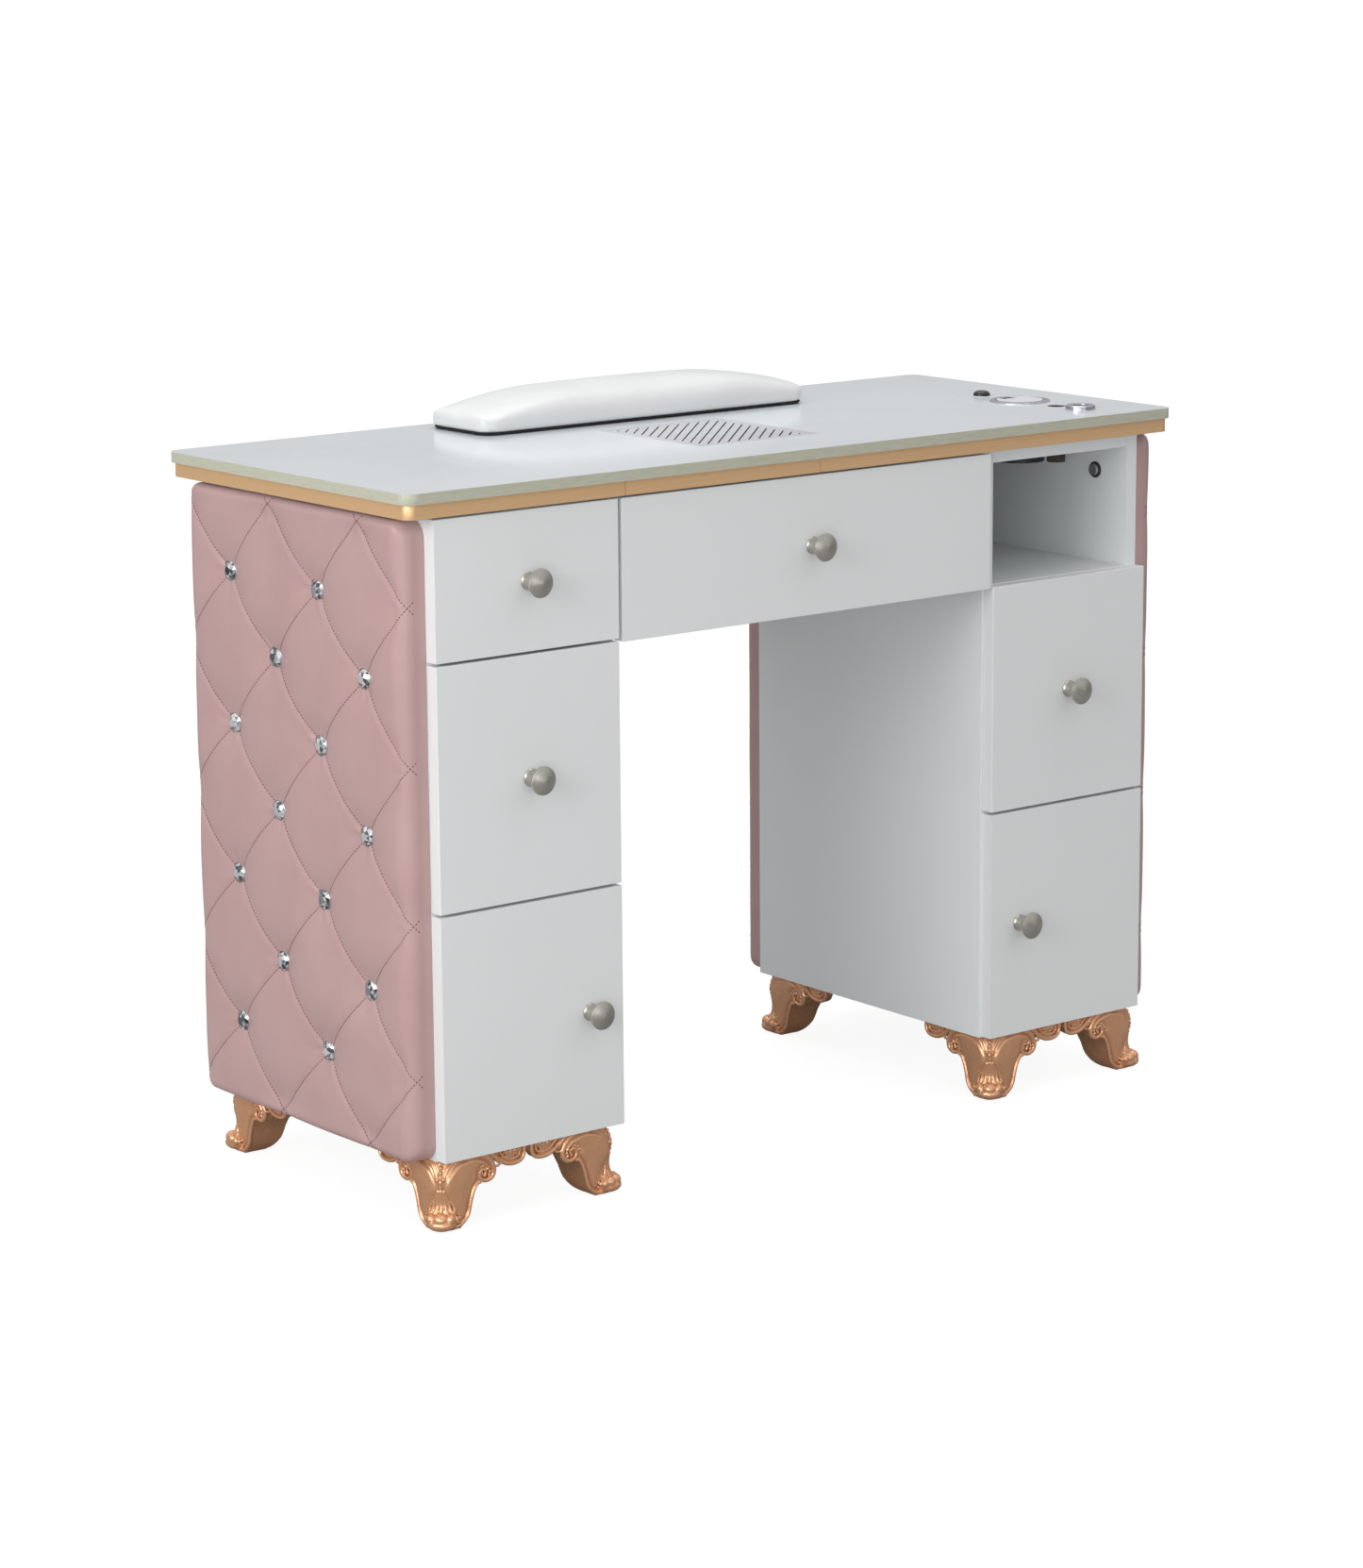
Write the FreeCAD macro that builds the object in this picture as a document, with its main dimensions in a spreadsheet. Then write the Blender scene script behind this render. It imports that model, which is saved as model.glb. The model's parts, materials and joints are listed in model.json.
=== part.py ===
"""Manicure table: a marble-look top on two pedestals, with drawers, doors, padded sides,
a dust collector in the top and a loose wrist rest.

Frame: millimetres, +X along the top's length, +Z up, drawers face -Y.
The origin is on the floor at the centre of the whole table's box.
"""
import FreeCAD, Part
import math
import os

import Sketcher

V = FreeCAD.Vector
doc = FreeCAD.newDocument("manicure_table")
sheet = doc.addObject("Spreadsheet::Sheet", "dims")

# ---------------------------------------------------------------- driving dimensions, mm
DIMENSIONS = {
    # whole table
    "top_length": 1100, "top_depth": 462, "table_height": 800,
    # slab, sub-top and edge trim
    "slab_thickness": 12, "slab_corner": 15, "subtop_thickness": 16,
    "trim_inset": 4, "trim_thickness": 2, "trim_corner": 11, "trim_joint": 0.8,
    "trim_left_end": -263.5, "trim_right_end": 9.3,
    # carcass
    "board": 16, "foot_height": 77, "carcass_half": 512, "kneehole_half": 268,
    "front_setback": 7, "front_thickness": 16, "carcass_depth": 405,
    "divider_level": 356, "compartment_level": 615.5, "apron_height": 212,
    # fronts
    "front_outer": 511.5, "front_inner": 271, "centre_front_half": 266,
    "fronts_top": 769.5, "upper_gap": 616.5, "lower_gap": 348.2, "gap": 3,
    "door_bottom": 78.5, "centre_bottom": 613.7,
    # drawer boxes and runners
    "drawer_wall": 12, "drawer_floor": 8, "drawer_length": 370, "runner_space": 13,
    "upper_box_low": 628, "upper_box_height": 116, "middle_box_low": 372,
    "middle_box_height": 200, "centre_box_low": 620, "centre_box_height": 72,
    "runner_length": 350, "runner_height": 36, "runner_web": 1.5, "runner_lip": 8,
    "slider_height": 26, "slider_clear": 2.5,
    # knobs
    "knob_reach": 28, "knob_radius": 15.75, "knob_base_radius": 9, "knob_stem_radius": 4.5,
    "knob_base_thickness": 3, "knob_rim": 2.2, "knob_cone": 5.5, "door_knob_inset": 45,
    # doors
    "cup_radius": 17.5, "cup_depth": 11.5, "cup_inset": 22, "cup_spacing": 160, "cup_clear": 0.3,
    "arm_near": 21, "arm_far": 38, "arm_reach": 7, "arm_height": 12,
    "plate_front": 24, "plate_back": 70, "plate_thickness": 9, "plate_height": 18,
    # pads and crystal buttons
    "pad_thickness": 26, "pad_gap": 0.4, "pad_round": 22, "pad_side_extra": 10, "pad_drop": 4,
    "crystal_radius": 10.5, "crystal_table": 6, "crystal_height": 6, "tuft_pitch": 84.8,
    "tuft_first": 21.2, "tuft_top": 677,
    # feet
    "foot_wing": 120, "foot_thickness": 16, "foot_toe": 21, "foot_toe_centre": 25,
    "foot_toe_height": 19, "foot_outer": 7, "foot_inner": 5, "foot_front": 9, "foot_back": 4,
    # dust collector
    "vent_length": 172, "vent_depth": 187, "vent_setback": 95, "vent_thickness": 1.6,
    "vent_border": 13, "slot_width": 1.8, "slot_pitch": 10.4, "vent_clear": 0.5,
    "housing_wall": 2, "housing_bottom": 706, "fan_size": 120, "fan_height": 25,
    "fan_bore": 57, "rotor_radius": 55, "fan_hub": 20, "housing_inset": 4, "spider": 3,
    "fan_blades": 7, "blade_lean": 40, "blade_thickness": 2,
    # fittings at the right end of the top
    "fittings_x": 458.3, "speed_knob_y": 234.7, "speed_knob_radius": 10.3,
    "speed_knob_height": 6, "shaft_radius": 3, "grommet_y": 167.5, "grommet_radius": 36,
    "grommet_tube_radius": 30, "grommet_wall": 2, "grommet_rim": 2.2, "grommet_bottom": 722,
    "cap_radius": 27.4, "cap_slot_width": 24, "cap_slot_depth": 13,
    "cable_hole_y": 103.5, "cable_hole_radius": 11, "socket_y": 63, "socket_radius": 17.5,
    "socket_height": 5, "socket_tube_radius": 13, "button_radius": 9.5, "button_travel": 2,
    "socket_bottom": 736, "pad_bolt_radius": 3, "pad_bolt_head": 6.5,
    "pad_bolt_front": 52, "pad_bolt_back": 352, "pad_bolt_high": 723.8, "pad_bolt_low": 170,
    # wrist rest
    "rest_length": 480, "rest_depth": 122, "rest_height": 45, "rest_base_height": 7,
    "rest_base_inset": 9, "rest_x": 20, "rest_setback": 317, "rest_round": 16,
}


class Term:
    """A number together with the sheet expression that it comes from."""

    def __init__(self, value, text):
        self.value = float(value)
        self.text = text

    @staticmethod
    def of(other):
        return other if isinstance(other, Term) else Term(other, repr(float(other)))

    def join(self, other, sign, value):
        return Term(value, "(%s %s %s)" % (self.text, sign, Term.of(other).text))

    def __add__(self, other):
        return self.join(other, "+", self.value + Term.of(other).value)

    def __radd__(self, other):
        return Term.of(other) + self

    def __sub__(self, other):
        return self.join(other, "-", self.value - Term.of(other).value)

    def __rsub__(self, other):
        return Term.of(other) - self

    def __mul__(self, other):
        return self.join(other, "*", self.value * Term.of(other).value)

    def __rmul__(self, other):
        return self * other

    def __truediv__(self, other):
        return self.join(other, "/", self.value / Term.of(other).value)

    def __neg__(self):
        return 0 - self


def root(term):
    return Term(math.sqrt(term.value), "sqrt(%s)" % term.text)


def fill_sheet():
    """Write every driving dimension into the sheet and return the terms by name."""
    terms = {}
    for row, (name, value) in enumerate(DIMENSIONS.items(), start=1):
        sheet.set("A%d" % row, name)
        sheet.set("B%d" % row, str(value))
        sheet.setAlias("B%d" % row, name)
        terms[name] = Term(value, "dims." + name)
    doc.recompute()
    return terms


D = fill_sheet()
NODES = []
X, Y, Z = 0, 1, 2


# ---------------------------------------------------------------- helpers
def bind(item, path, term):
    item.setExpression(path, Term.of(term).text)


def node(item, label):
    """Give the object its label and put it on the list of sub-parts to write."""
    item.Label = label
    NODES.append(item)
    return item


def place(item, position):
    """Bind the object's position to three terms."""
    item.Placement = FreeCAD.Placement(V(*(Term.of(p).value for p in position)), item.Placement.Rotation)
    for axis, term in zip("xyz", position):
        bind(item, "Placement.Base." + axis, term)
    return item


def box(low, high):
    """A Part::Box between two corners."""
    item = doc.addObject("Part::Box", "box")
    for side, a, b in zip(("Length", "Width", "Height"), low, high):
        bind(item, side, Term.of(b) - a)
    return place(item, low)


def cylinder(centre, radius, height, axis=Z):
    """A Part::Cylinder that starts at centre and runs along +axis."""
    item = doc.addObject("Part::Cylinder", "cylinder")
    bind(item, "Radius", radius)
    bind(item, "Height", height)
    turns = {X: (V(0, 1, 0), 90), Y: (V(1, 0, 0), -90), Z: (V(0, 0, 1), 0)}
    item.Placement.Rotation = FreeCAD.Rotation(*turns[axis])
    return place(item, centre)


def cone(centre, low_radius, high_radius, height, axis=Z, sign=1):
    item = doc.addObject("Part::Cone", "cone")
    bind(item, "Radius1", low_radius)
    bind(item, "Radius2", high_radius)
    bind(item, "Height", height)
    turns = {X: (V(0, 1, 0), 90 * sign), Y: (V(1, 0, 0), -90 * sign), Z: (V(0, 0, 1), 0)}
    item.Placement.Rotation = FreeCAD.Rotation(*turns[axis])
    return place(item, centre)


def cut(base, *tools):
    """The base with every tool taken away."""
    item = doc.addObject("Part::Cut", "cut")
    item.Base = base
    item.Tool = tools[0] if len(tools) == 1 else fuse(*tools)
    return item


def fuse(*shapes):
    item = doc.addObject("Part::MultiFuse", "fuse")
    item.Shapes = list(shapes)
    return item


def common(a, b):
    item = doc.addObject("Part::MultiCommon", "common")
    item.Shapes = [a, b]
    return item


def group(items):
    """Separate solids of the same kind as one sub-part."""
    item = doc.addObject("Part::Compound", "group")
    item.Links = list(items)
    return item


def new_sketch(body, role):
    """An empty sketch on one of the body's own origin planes."""
    plane = [f for f in body.Origin.OriginFeatures if f.Role == role][0]
    sketch = body.newObject("Sketcher::SketchObject", "sketch")
    sketch.AttachmentSupport = (plane, "")
    sketch.MapMode = "FlatFace"
    return sketch


def pin(sketch, geometry, point, u, v):
    """Tie one point of the sketch to two terms, measured from the origin."""
    for kind, term in (("DistanceX", u), ("DistanceY", v)):
        term = Term.of(term)
        index = sketch.addConstraint(
            Sketcher.Constraint(kind, -1, 1, geometry, point, term.value))
        bind(sketch, "Constraints[%d]" % index, term)


def circle(sketch, u, v, radius):
    u, v, radius = Term.of(u), Term.of(v), Term.of(radius)
    index = sketch.addGeometry(Part.Circle(V(u.value, v.value, 0), V(0, 0, 1), radius.value))
    pin(sketch, index, 3, u, v)
    size = sketch.addConstraint(Sketcher.Constraint("Radius", index, radius.value))
    bind(sketch, "Constraints[%d]" % size, radius)


def outline(sketch, steps):
    """A closed outline. Each step is (u, v) for a corner that a straight side leads to, or
    (u, v, bulge) for one that an arc leads to. The bulge is how far the arc stands out to the
    right of the way along the outline."""
    terms = [tuple(Term.of(t) for t in step) for step in steps]
    first = None
    previous = terms[-1]
    last = None
    for step in terms:
        a = V(previous[0].value, previous[1].value, 0)
        b = V(step[0].value, step[1].value, 0)
        if len(step) == 2:
            index = sketch.addGeometry(Part.LineSegment(a, b))
            start, end = 1, 2
        else:
            along = (b - a).normalize()
            middle = (a + b) * 0.5 + V(along.y, -along.x, 0) * step[2].value
            index = sketch.addGeometry(Part.Arc(a, middle, b))
            forward = sketch.getPoint(index, 1).distanceToPoint(a) < 1e-6
            start, end = (1, 2) if forward else (2, 1)
            chord = (step[0] - previous[0]) * (step[0] - previous[0]) \
                + (step[1] - previous[1]) * (step[1] - previous[1])
            size = 1 if step[2].value > 0 else -1
            bulge = step[2] * size
            radius = (chord / 4 + bulge * bulge) / (2 * bulge)
        if last is not None:
            sketch.addConstraint(Sketcher.Constraint("Coincident", last[0], last[1], index, start))
        else:
            first = (index, start)
        pin(sketch, index, end, step[0], step[1])
        if len(step) == 3:
            tie = sketch.addConstraint(Sketcher.Constraint("Radius", index, radius.value))
            bind(sketch, "Constraints[%d]" % tie, radius)
        last = (index, end)
        previous = step
    sketch.addConstraint(Sketcher.Constraint("Coincident", last[0], last[1], first[0], first[1]))


def padded(role, steps, length, circles=(), holes=(), position=(0, 0, 0), backwards=False):
    """A body: one outline, with round and shaped holes, padded square to its plane."""
    body = doc.addObject("PartDesign::Body", "body")
    sketch = new_sketch(body, role)
    outline(sketch, steps)
    for hole in holes:
        outline(sketch, hole)
    for u, v, radius in circles:
        circle(sketch, u, v, radius)
    pad = body.newObject("PartDesign::Pad", "pad")
    pad.Profile = sketch
    pad.Reversed = backwards
    bind(pad, "Length", length)
    sketch.Visibility = False
    body.Tip = pad
    return place(body, position)


def revolved(steps, position, facing_front=False):
    """A body turned about its own +Z, from an outline in (radius, height)."""
    body = doc.addObject("PartDesign::Body", "body")
    sketch = new_sketch(body, "XZ_Plane")
    outline(sketch, steps)
    turn = body.newObject("PartDesign::Revolution", "revolution")
    turn.Profile = sketch
    turn.ReferenceAxis = (sketch, ["V_Axis"])
    turn.Angle = 360
    body.Tip = turn
    if facing_front:
        body.Placement.Rotation = FreeCAD.Rotation(V(1, 0, 0), 90)
    return place(body, position)


def rectangle(u0, v0, u1, v1):
    return [(u0, v0), (u1, v0), (u1, v1), (u0, v1)]


def rounded(u0, v0, u1, v1, radius):
    """A rectangle with round corners, counter-clockwise."""
    bulge = radius * (1 - math.sqrt(0.5))
    return [(u1 - radius, v0), (u1, v0 + radius, bulge), (u1, v1 - radius),
            (u1 - radius, v1, bulge), (u0 + radius, v1), (u0, v1 - radius, bulge),
            (u0, v0 + radius), (u0 + radius, v0, bulge)]


# ---------------------------------------------------------------- levels and planes
half_length = D["top_length"] / 2
slab_top = D["table_height"]
slab_bottom = slab_top - D["slab_thickness"]
carcass_top = slab_bottom - D["subtop_thickness"]
carcass_bottom = D["foot_height"]
knob_stand_out = D["knob_reach"] - D["front_setback"]
slab_front = (knob_stand_out - D["top_depth"]) / 2
slab_back = slab_front + D["top_depth"]
front_face = slab_front + D["front_setback"]
carcass_front = front_face + D["front_thickness"]
carcass_back = carcass_front + D["carcass_depth"]
outer_face = D["carcass_half"]
outer_inside = outer_face - D["board"]
inner_face = D["kneehole_half"]
inner_inside = inner_face + D["board"]
pedestal_middle = (outer_inside + inner_inside) / 2


def from_front(distance):
    return slab_front + distance


def sided(side, a, b):
    """Two x positions of the right pedestal, for either side, low one first."""
    return (a, b) if side > 0 else (-b, -a)


# ---------------------------------------------------------------- the top
def make_top():
    x = D["fittings_x"]
    vent_front = from_front(D["vent_setback"])
    vent_half = D["vent_length"] / 2
    clear = D["vent_clear"]
    vent = rectangle(-(vent_half + clear), vent_front - clear, vent_half + clear,
                     vent_front + D["vent_depth"] + clear)
    speed = (x, from_front(D["speed_knob_y"]), D["shaft_radius"] + 1)
    grommet = (x, from_front(D["grommet_y"]), D["grommet_tube_radius"] + 0.5)
    cable = (x, from_front(D["cable_hole_y"]), D["cable_hole_radius"])
    socket = (x, from_front(D["socket_y"]), D["socket_tube_radius"] + 0.5)
    node(padded("XY_Plane", rounded(-half_length, slab_front, half_length, slab_back,
                                    D["slab_corner"]),
                D["slab_thickness"], circles=(speed, grommet, cable, socket), holes=[vent],
                position=(0, 0, slab_bottom)), "stone_top")
    inset = D["trim_inset"] + D["trim_thickness"] + 0.2
    wide_cable = (cable[0], cable[1], D["cable_hole_radius"] + 3)
    node(padded("XY_Plane", rounded(inset - half_length, slab_front + inset,
                                    half_length - inset, slab_back - inset,
                                    D["trim_corner"] - D["trim_thickness"]),
                D["subtop_thickness"], circles=(speed, grommet, wide_cable, socket), holes=[vent],
                position=(0, 0, carcass_top)), "sub_top")


def make_trims():
    """The edge band: a wrap round each end, and a strip between them at front and back."""
    front = slab_front + D["trim_inset"]
    back = slab_back - D["trim_inset"]
    end = half_length - D["trim_inset"]
    radius = D["trim_corner"]
    thick = D["trim_thickness"]
    small = radius - thick
    bulge = radius * (1 - math.sqrt(0.5))
    small_bulge = small * (1 - math.sqrt(0.5))
    for side, seam, label in ((-1, D["trim_left_end"], "trim_left"),
                              (1, D["trim_right_end"], "trim_right")):
        e = end * side
        e_in = (end - thick) * side
        r = radius * side
        b = bulge * side
        sb = small_bulge * side
        steps = [(seam, front), (e - r, front), (e, front + radius, b), (e, back - radius),
                 (e - r, back, b), (seam, back), (seam, back - thick), (e - r, back - thick),
                 (e_in, back - radius, -sb), (e_in, front + radius),
                 (e - r, front + thick, -sb), (seam, front + thick)]
        node(padded("XY_Plane", steps, D["subtop_thickness"], position=(0, 0, carcass_top)), label)
    low = D["trim_left_end"] + D["trim_joint"]
    high = D["trim_right_end"] - D["trim_joint"]
    for label, y in (("trim_front", front), ("trim_rear", back - thick)):
        node(box((low, y, carcass_top), (high, y + thick, slab_bottom)), label)


# ---------------------------------------------------------------- the pedestals
def make_side_panels():
    rows = (D["pad_bolt_front"], D["pad_bolt_back"])
    levels = (D["pad_bolt_low"], D["pad_bolt_high"])
    holes = [(carcass_front + y, z, D["pad_bolt_radius"] + 0.3) for y in rows for z in levels]
    for side, label in ((-1, "left_outer_panel"), (1, "right_outer_panel")):
        low, high = sided(side, outer_inside, outer_face)
        node(padded("YZ_Plane", rectangle(carcass_front, carcass_bottom, carcass_back, carcass_top),
                    D["board"], circles=holes, position=(low, 0, 0)), label)
    for side, label in ((-1, "left_inner_panel"), (1, "right_inner_panel")):
        low, high = sided(side, inner_face, inner_inside)
        node(box((low, carcass_front, carcass_bottom), (high, carcass_back, carcass_top)), label)


def make_cross_boards():
    """Tops, bottoms, backs and dividers between the side panels of each pedestal."""
    board = D["board"]
    x = D["fittings_x"]
    back_inside = carcass_back - board
    tops, bottoms, dividers, backs = [], [], [], []
    for side in (-1, 1):
        low, high = sided(side, inner_inside, outer_inside)
        tops.append(box((low, carcass_front, carcass_top - board), (high, back_inside, carcass_top)))
        bottoms.append(box((low, carcass_front, carcass_bottom),
                           (high, back_inside, carcass_bottom + board)))
        dividers.append(box((low, carcass_front, D["divider_level"] - board),
                            (high, back_inside, D["divider_level"])))
        backs.append(box((low, back_inside, carcass_bottom), (high, carcass_back, carcass_top)))
    # the right top board is open under the fittings of the slab
    openings = (
        cylinder((x, from_front(D["speed_knob_y"]), carcass_top - board),
                 D["shaft_radius"] + 1, board),
        cylinder((x, from_front(D["grommet_y"]), carcass_top - board),
                 D["grommet_tube_radius"] + 1.5, board),
        cylinder((x, from_front(D["cable_hole_y"]), carcass_top - board),
                 D["cable_hole_radius"] + 3, board),
        cylinder((x, from_front(D["socket_y"]), carcass_top - board),
                 D["socket_tube_radius"] + 1.5, board))
    tops[1] = cut(tops[1], *openings)
    node(group(tops), "pedestal_tops")
    node(group(bottoms), "pedestal_bottoms")
    node(group(dividers), "door_dividers")
    node(group(backs), "pedestal_backs")
    node(box((inner_inside, carcass_front, D["compartment_level"] - board),
             (outer_inside, back_inside, D["compartment_level"])), "compartment_floor")
    node(box((-inner_face, back_inside, carcass_top - D["apron_height"]),
             (inner_face, carcass_back, carcass_top)), "apron_panel")


# ---------------------------------------------------------------- knobs
def knob(label, x, z):
    """A turned knob: a base flange, a waisted stem and a shallow cone for a head."""
    reach = D["knob_reach"]
    head = D["knob_radius"]
    stem = D["knob_stem_radius"]
    base = D["knob_base_radius"]
    rim = reach - D["knob_cone"]
    steps = [(0, 0), (base, 0), (base, D["knob_base_thickness"]),
             (stem + 1, D["knob_base_thickness"] + 2), (stem, reach * 0.4),
             (head - 3, rim - D["knob_rim"] - 2), (head, rim - D["knob_rim"]), (head, rim),
             (0, reach)]
    node(revolved(steps, (x, front_face, z), facing_front=True), label)


# ---------------------------------------------------------------- drawers
def drawer_box(low, high, label):
    """An open box of thin board, as one glued piece."""
    wall = D["drawer_wall"]
    inside = box((low[X] + wall, low[Y] + wall, low[Z] + D["drawer_floor"]),
                 (high[X] - wall, high[Y] - wall, high[Z] + 1))
    node(cut(box(low, high), inside), label)


def runner_pair(low_x, high_x, z, fixed):
    """The fixed channels on both cheeks of a drawer space, and the sliders inside them.
    Returns the moving pair; the channels join the fixed list."""
    web, lip = D["runner_web"], D["runner_lip"]
    half = D["runner_height"] / 2
    slider_half = D["slider_height"] / 2
    y0 = carcass_front + 2
    y1 = y0 + D["runner_length"]
    moving = []
    for side, wall in ((1, low_x), (-1, high_x)):
        channel = box((wall if side > 0 else wall - lip, y0, z - half),
                      (wall + lip if side > 0 else wall, y1, z + half))
        groove = box((wall + web if side > 0 else wall - lip - 1, y0 - 1, z - half + web),
                     (wall + lip + 1 if side > 0 else wall - web, y1 + 1, z + half - web))
        fixed.append(cut(channel, groove))
        near = wall + D["slider_clear"] * side
        far = wall + D["runner_space"] * side
        moving.append(box((near if side > 0 else far, y0, z - slider_half),
                          (far if side > 0 else near, y1, z + slider_half)))
    return moving


def make_drawers():
    space = D["runner_space"]
    gap = D["gap"] / 2
    right = (inner_inside, outer_inside)
    left = (-outer_inside, -inner_inside)
    centre = (-inner_face, inner_face)
    left_front = (-D["front_outer"], -D["front_inner"])
    right_front = (D["front_inner"], D["front_outer"])
    centre_front = (-D["centre_front_half"], D["centre_front_half"])
    upper = (D["upper_gap"] + gap, D["fronts_top"])
    middle = (D["lower_gap"] + gap, D["upper_gap"] - gap)
    low = (D["centre_bottom"], D["fronts_top"])
    upper_box = (D["upper_box_low"], D["upper_box_height"])
    middle_box = (D["middle_box_low"], D["middle_box_height"])
    centre_box = (D["centre_box_low"], D["centre_box_height"])
    fixed = []
    for name, opening, face, levels, body in (
            ("left_upper", left, left_front, upper, upper_box),
            ("left_middle", left, left_front, middle, middle_box),
            ("centre", centre, centre_front, low, centre_box),
            ("right_middle", right, right_front, middle, middle_box)):
        node(box((face[0], front_face, levels[0]), (face[1], carcass_front, levels[1])),
             name + "_front")
        drawer_box((opening[0] + space, carcass_front, body[0]),
                   (opening[1] - space, carcass_front + D["drawer_length"], body[0] + body[1]),
                   name + "_box")
        moving = runner_pair(opening[0], opening[1], body[0] + body[1] / 2, fixed)
        node(group(moving), name + "_sliders")
        knob(name + "_knob", (face[0] + face[1]) / 2, (levels[0] + levels[1]) / 2)
    node(group(fixed), "cabinet_slides")


# ---------------------------------------------------------------- doors
def make_doors():
    """Each door hangs on cup hinges at its outer edge and turns about that edge."""
    low = D["door_bottom"]
    high = D["lower_gap"] - D["gap"] / 2
    middle = (low + high) / 2
    levels = (middle - D["cup_spacing"] / 2, middle + D["cup_spacing"] / 2)
    arm_half = D["arm_height"] / 2
    plate_half = D["plate_height"] / 2
    plates = []
    for side, name in ((-1, "left"), (1, "right")):
        x0, x1 = sided(side, D["front_inner"], D["front_outer"])
        cup_x = (D["front_outer"] - D["cup_inset"]) * side
        panel = box((x0, front_face, low), (x1, carcass_front, high))
        cup_y = carcass_front - D["cup_depth"]
        holes = [cylinder((cup_x, cup_y - D["cup_clear"], z), D["cup_radius"] + D["cup_clear"],
                          D["cup_depth"] + 1, Y) for z in levels]
        node(cut(panel, *holes), name + "_door")
        cups = []
        for z in levels:
            cup = cylinder((cup_x, cup_y, z), D["cup_radius"], D["cup_depth"] - 0.5, Y)
            arm_x0, arm_x1 = sided(side, D["front_outer"] - D["arm_far"],
                                   D["front_outer"] - D["arm_near"])
            arm = box((arm_x0, cup_y + 2, z - arm_half),
                      (arm_x1, carcass_front + D["arm_reach"], z + arm_half))
            cups.append(fuse(cup, arm))
            plate_x0, plate_x1 = sided(side, outer_inside - D["plate_thickness"], outer_inside)
            plates.append(box((plate_x0, carcass_front + D["plate_front"], z - plate_half),
                              (plate_x1, carcass_front + D["plate_back"], z + plate_half)))
        node(group(cups), name + "_hinge_cups")
        knob(name + "_door_knob", (D["front_inner"] + D["door_knob_inset"]) * side, middle)
    node(group(plates), "hinge_plates")


# ---------------------------------------------------------------- pads and crystal buttons
def pad_steps(u0, v0, u1, v1, thickness, radius):
    """Section of a pad: a flat back, and a front whose two edges are well rounded."""
    bulge = radius * (1 - math.sqrt(0.5))
    return [(u0, v0), (u1, v0), (u1, v0 + thickness - radius), (u1 - radius, v0 + thickness, bulge),
            (u0 + radius, v0 + thickness), (u0, v0 + thickness - radius, bulge)]


def make_pads():
    thick, radius, gap = D["pad_thickness"], D["pad_round"], D["pad_gap"]
    low = carcass_bottom
    height = carcass_top - D["pad_drop"] - low
    front = carcass_front + gap
    back = carcass_back + D["pad_side_extra"]
    bulge = radius * (1 - math.sqrt(0.5))
    for side, label in ((-1, "left_side_pad"), (1, "right_side_pad")):
        near = (outer_face + gap) * side
        far = (outer_face + gap + thick) * side
        knee = far - radius * side
        steps = [(near, front), (knee, front), (far, front + radius, bulge * side),
                 (far, back - radius), (knee, back, bulge * side), (near, back)]
        node(padded("XY_Plane", steps, height, position=(0, 0, low)), label)
    plane = carcass_back + gap
    for label, x0, x1, z0 in (
            ("left_back_pad", -outer_face + gap, -inner_face - gap, low),
            ("right_back_pad", inner_face + gap, outer_face - gap, low),
            ("apron_pad", -inner_face + gap, inner_face - gap, carcass_top - D["apron_height"])):
        steps = pad_steps(x0, plane, x1, plane, thick, radius)
        node(padded("XY_Plane", steps, carcass_top - D["pad_drop"] - z0, position=(0, 0, z0)), label)


def crystal(centre, axis, sign):
    """A cut button: a truncated cone standing on the pad's face."""
    return cone(centre, D["crystal_radius"], D["crystal_table"], D["crystal_height"], axis, sign)


def make_crystals():
    pitch = D["tuft_pitch"]
    stones = []
    face = outer_face + D["pad_gap"] + D["pad_thickness"] + 0.3
    for column in range(1, 5):
        for row in range(7):
            if (row + column) % 2:
                continue
            y = from_front(D["tuft_first"]) + pitch * column
            z = D["tuft_top"] - pitch * row
            for side in (-1, 1):
                stones.append(crystal((face * side, y, z), X, side))
    plane = carcass_back + D["pad_gap"] + D["pad_thickness"] + 0.3
    for column in (-1, 0, 1):
        for row in range(7):
            if (row + column) % 2:
                continue
            for side in (-1, 1):
                x = pedestal_middle * side + pitch * column
                stones.append(crystal((x, plane, D["tuft_top"] - pitch * row), Y, 1))
    for column in (-2, 0, 2):
        stones.append(crystal((pitch * column, plane, D["tuft_top"]), Y, 1))
    node(group(stones), "crystal_buttons")


# ---------------------------------------------------------------- feet
def wing(role, sign, position, backwards):
    """One wing of a foot, cut from a plate: the leg, a scroll and a shell lobe."""
    long, high = D["foot_wing"], D["foot_height"]
    # fractions of the wing's length and height, and how far an arc stands out, mm
    profile = [(0, 0), (0.37, 0), (0.4, 0.34), (0.48, 0.53, -2), (0.64, 0.57, 4), (0.7, 0.75),
               (0.88, 0.73, 3), (1, 0.88, 3), (0.98, 1), (0, 1)]
    steps = [(long * u * sign, high * v) + tuple(stand * sign for stand in bulge)
             for u, v, *bulge in profile]
    return padded(role, steps, D["foot_thickness"], position=position, backwards=backwards)


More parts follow.
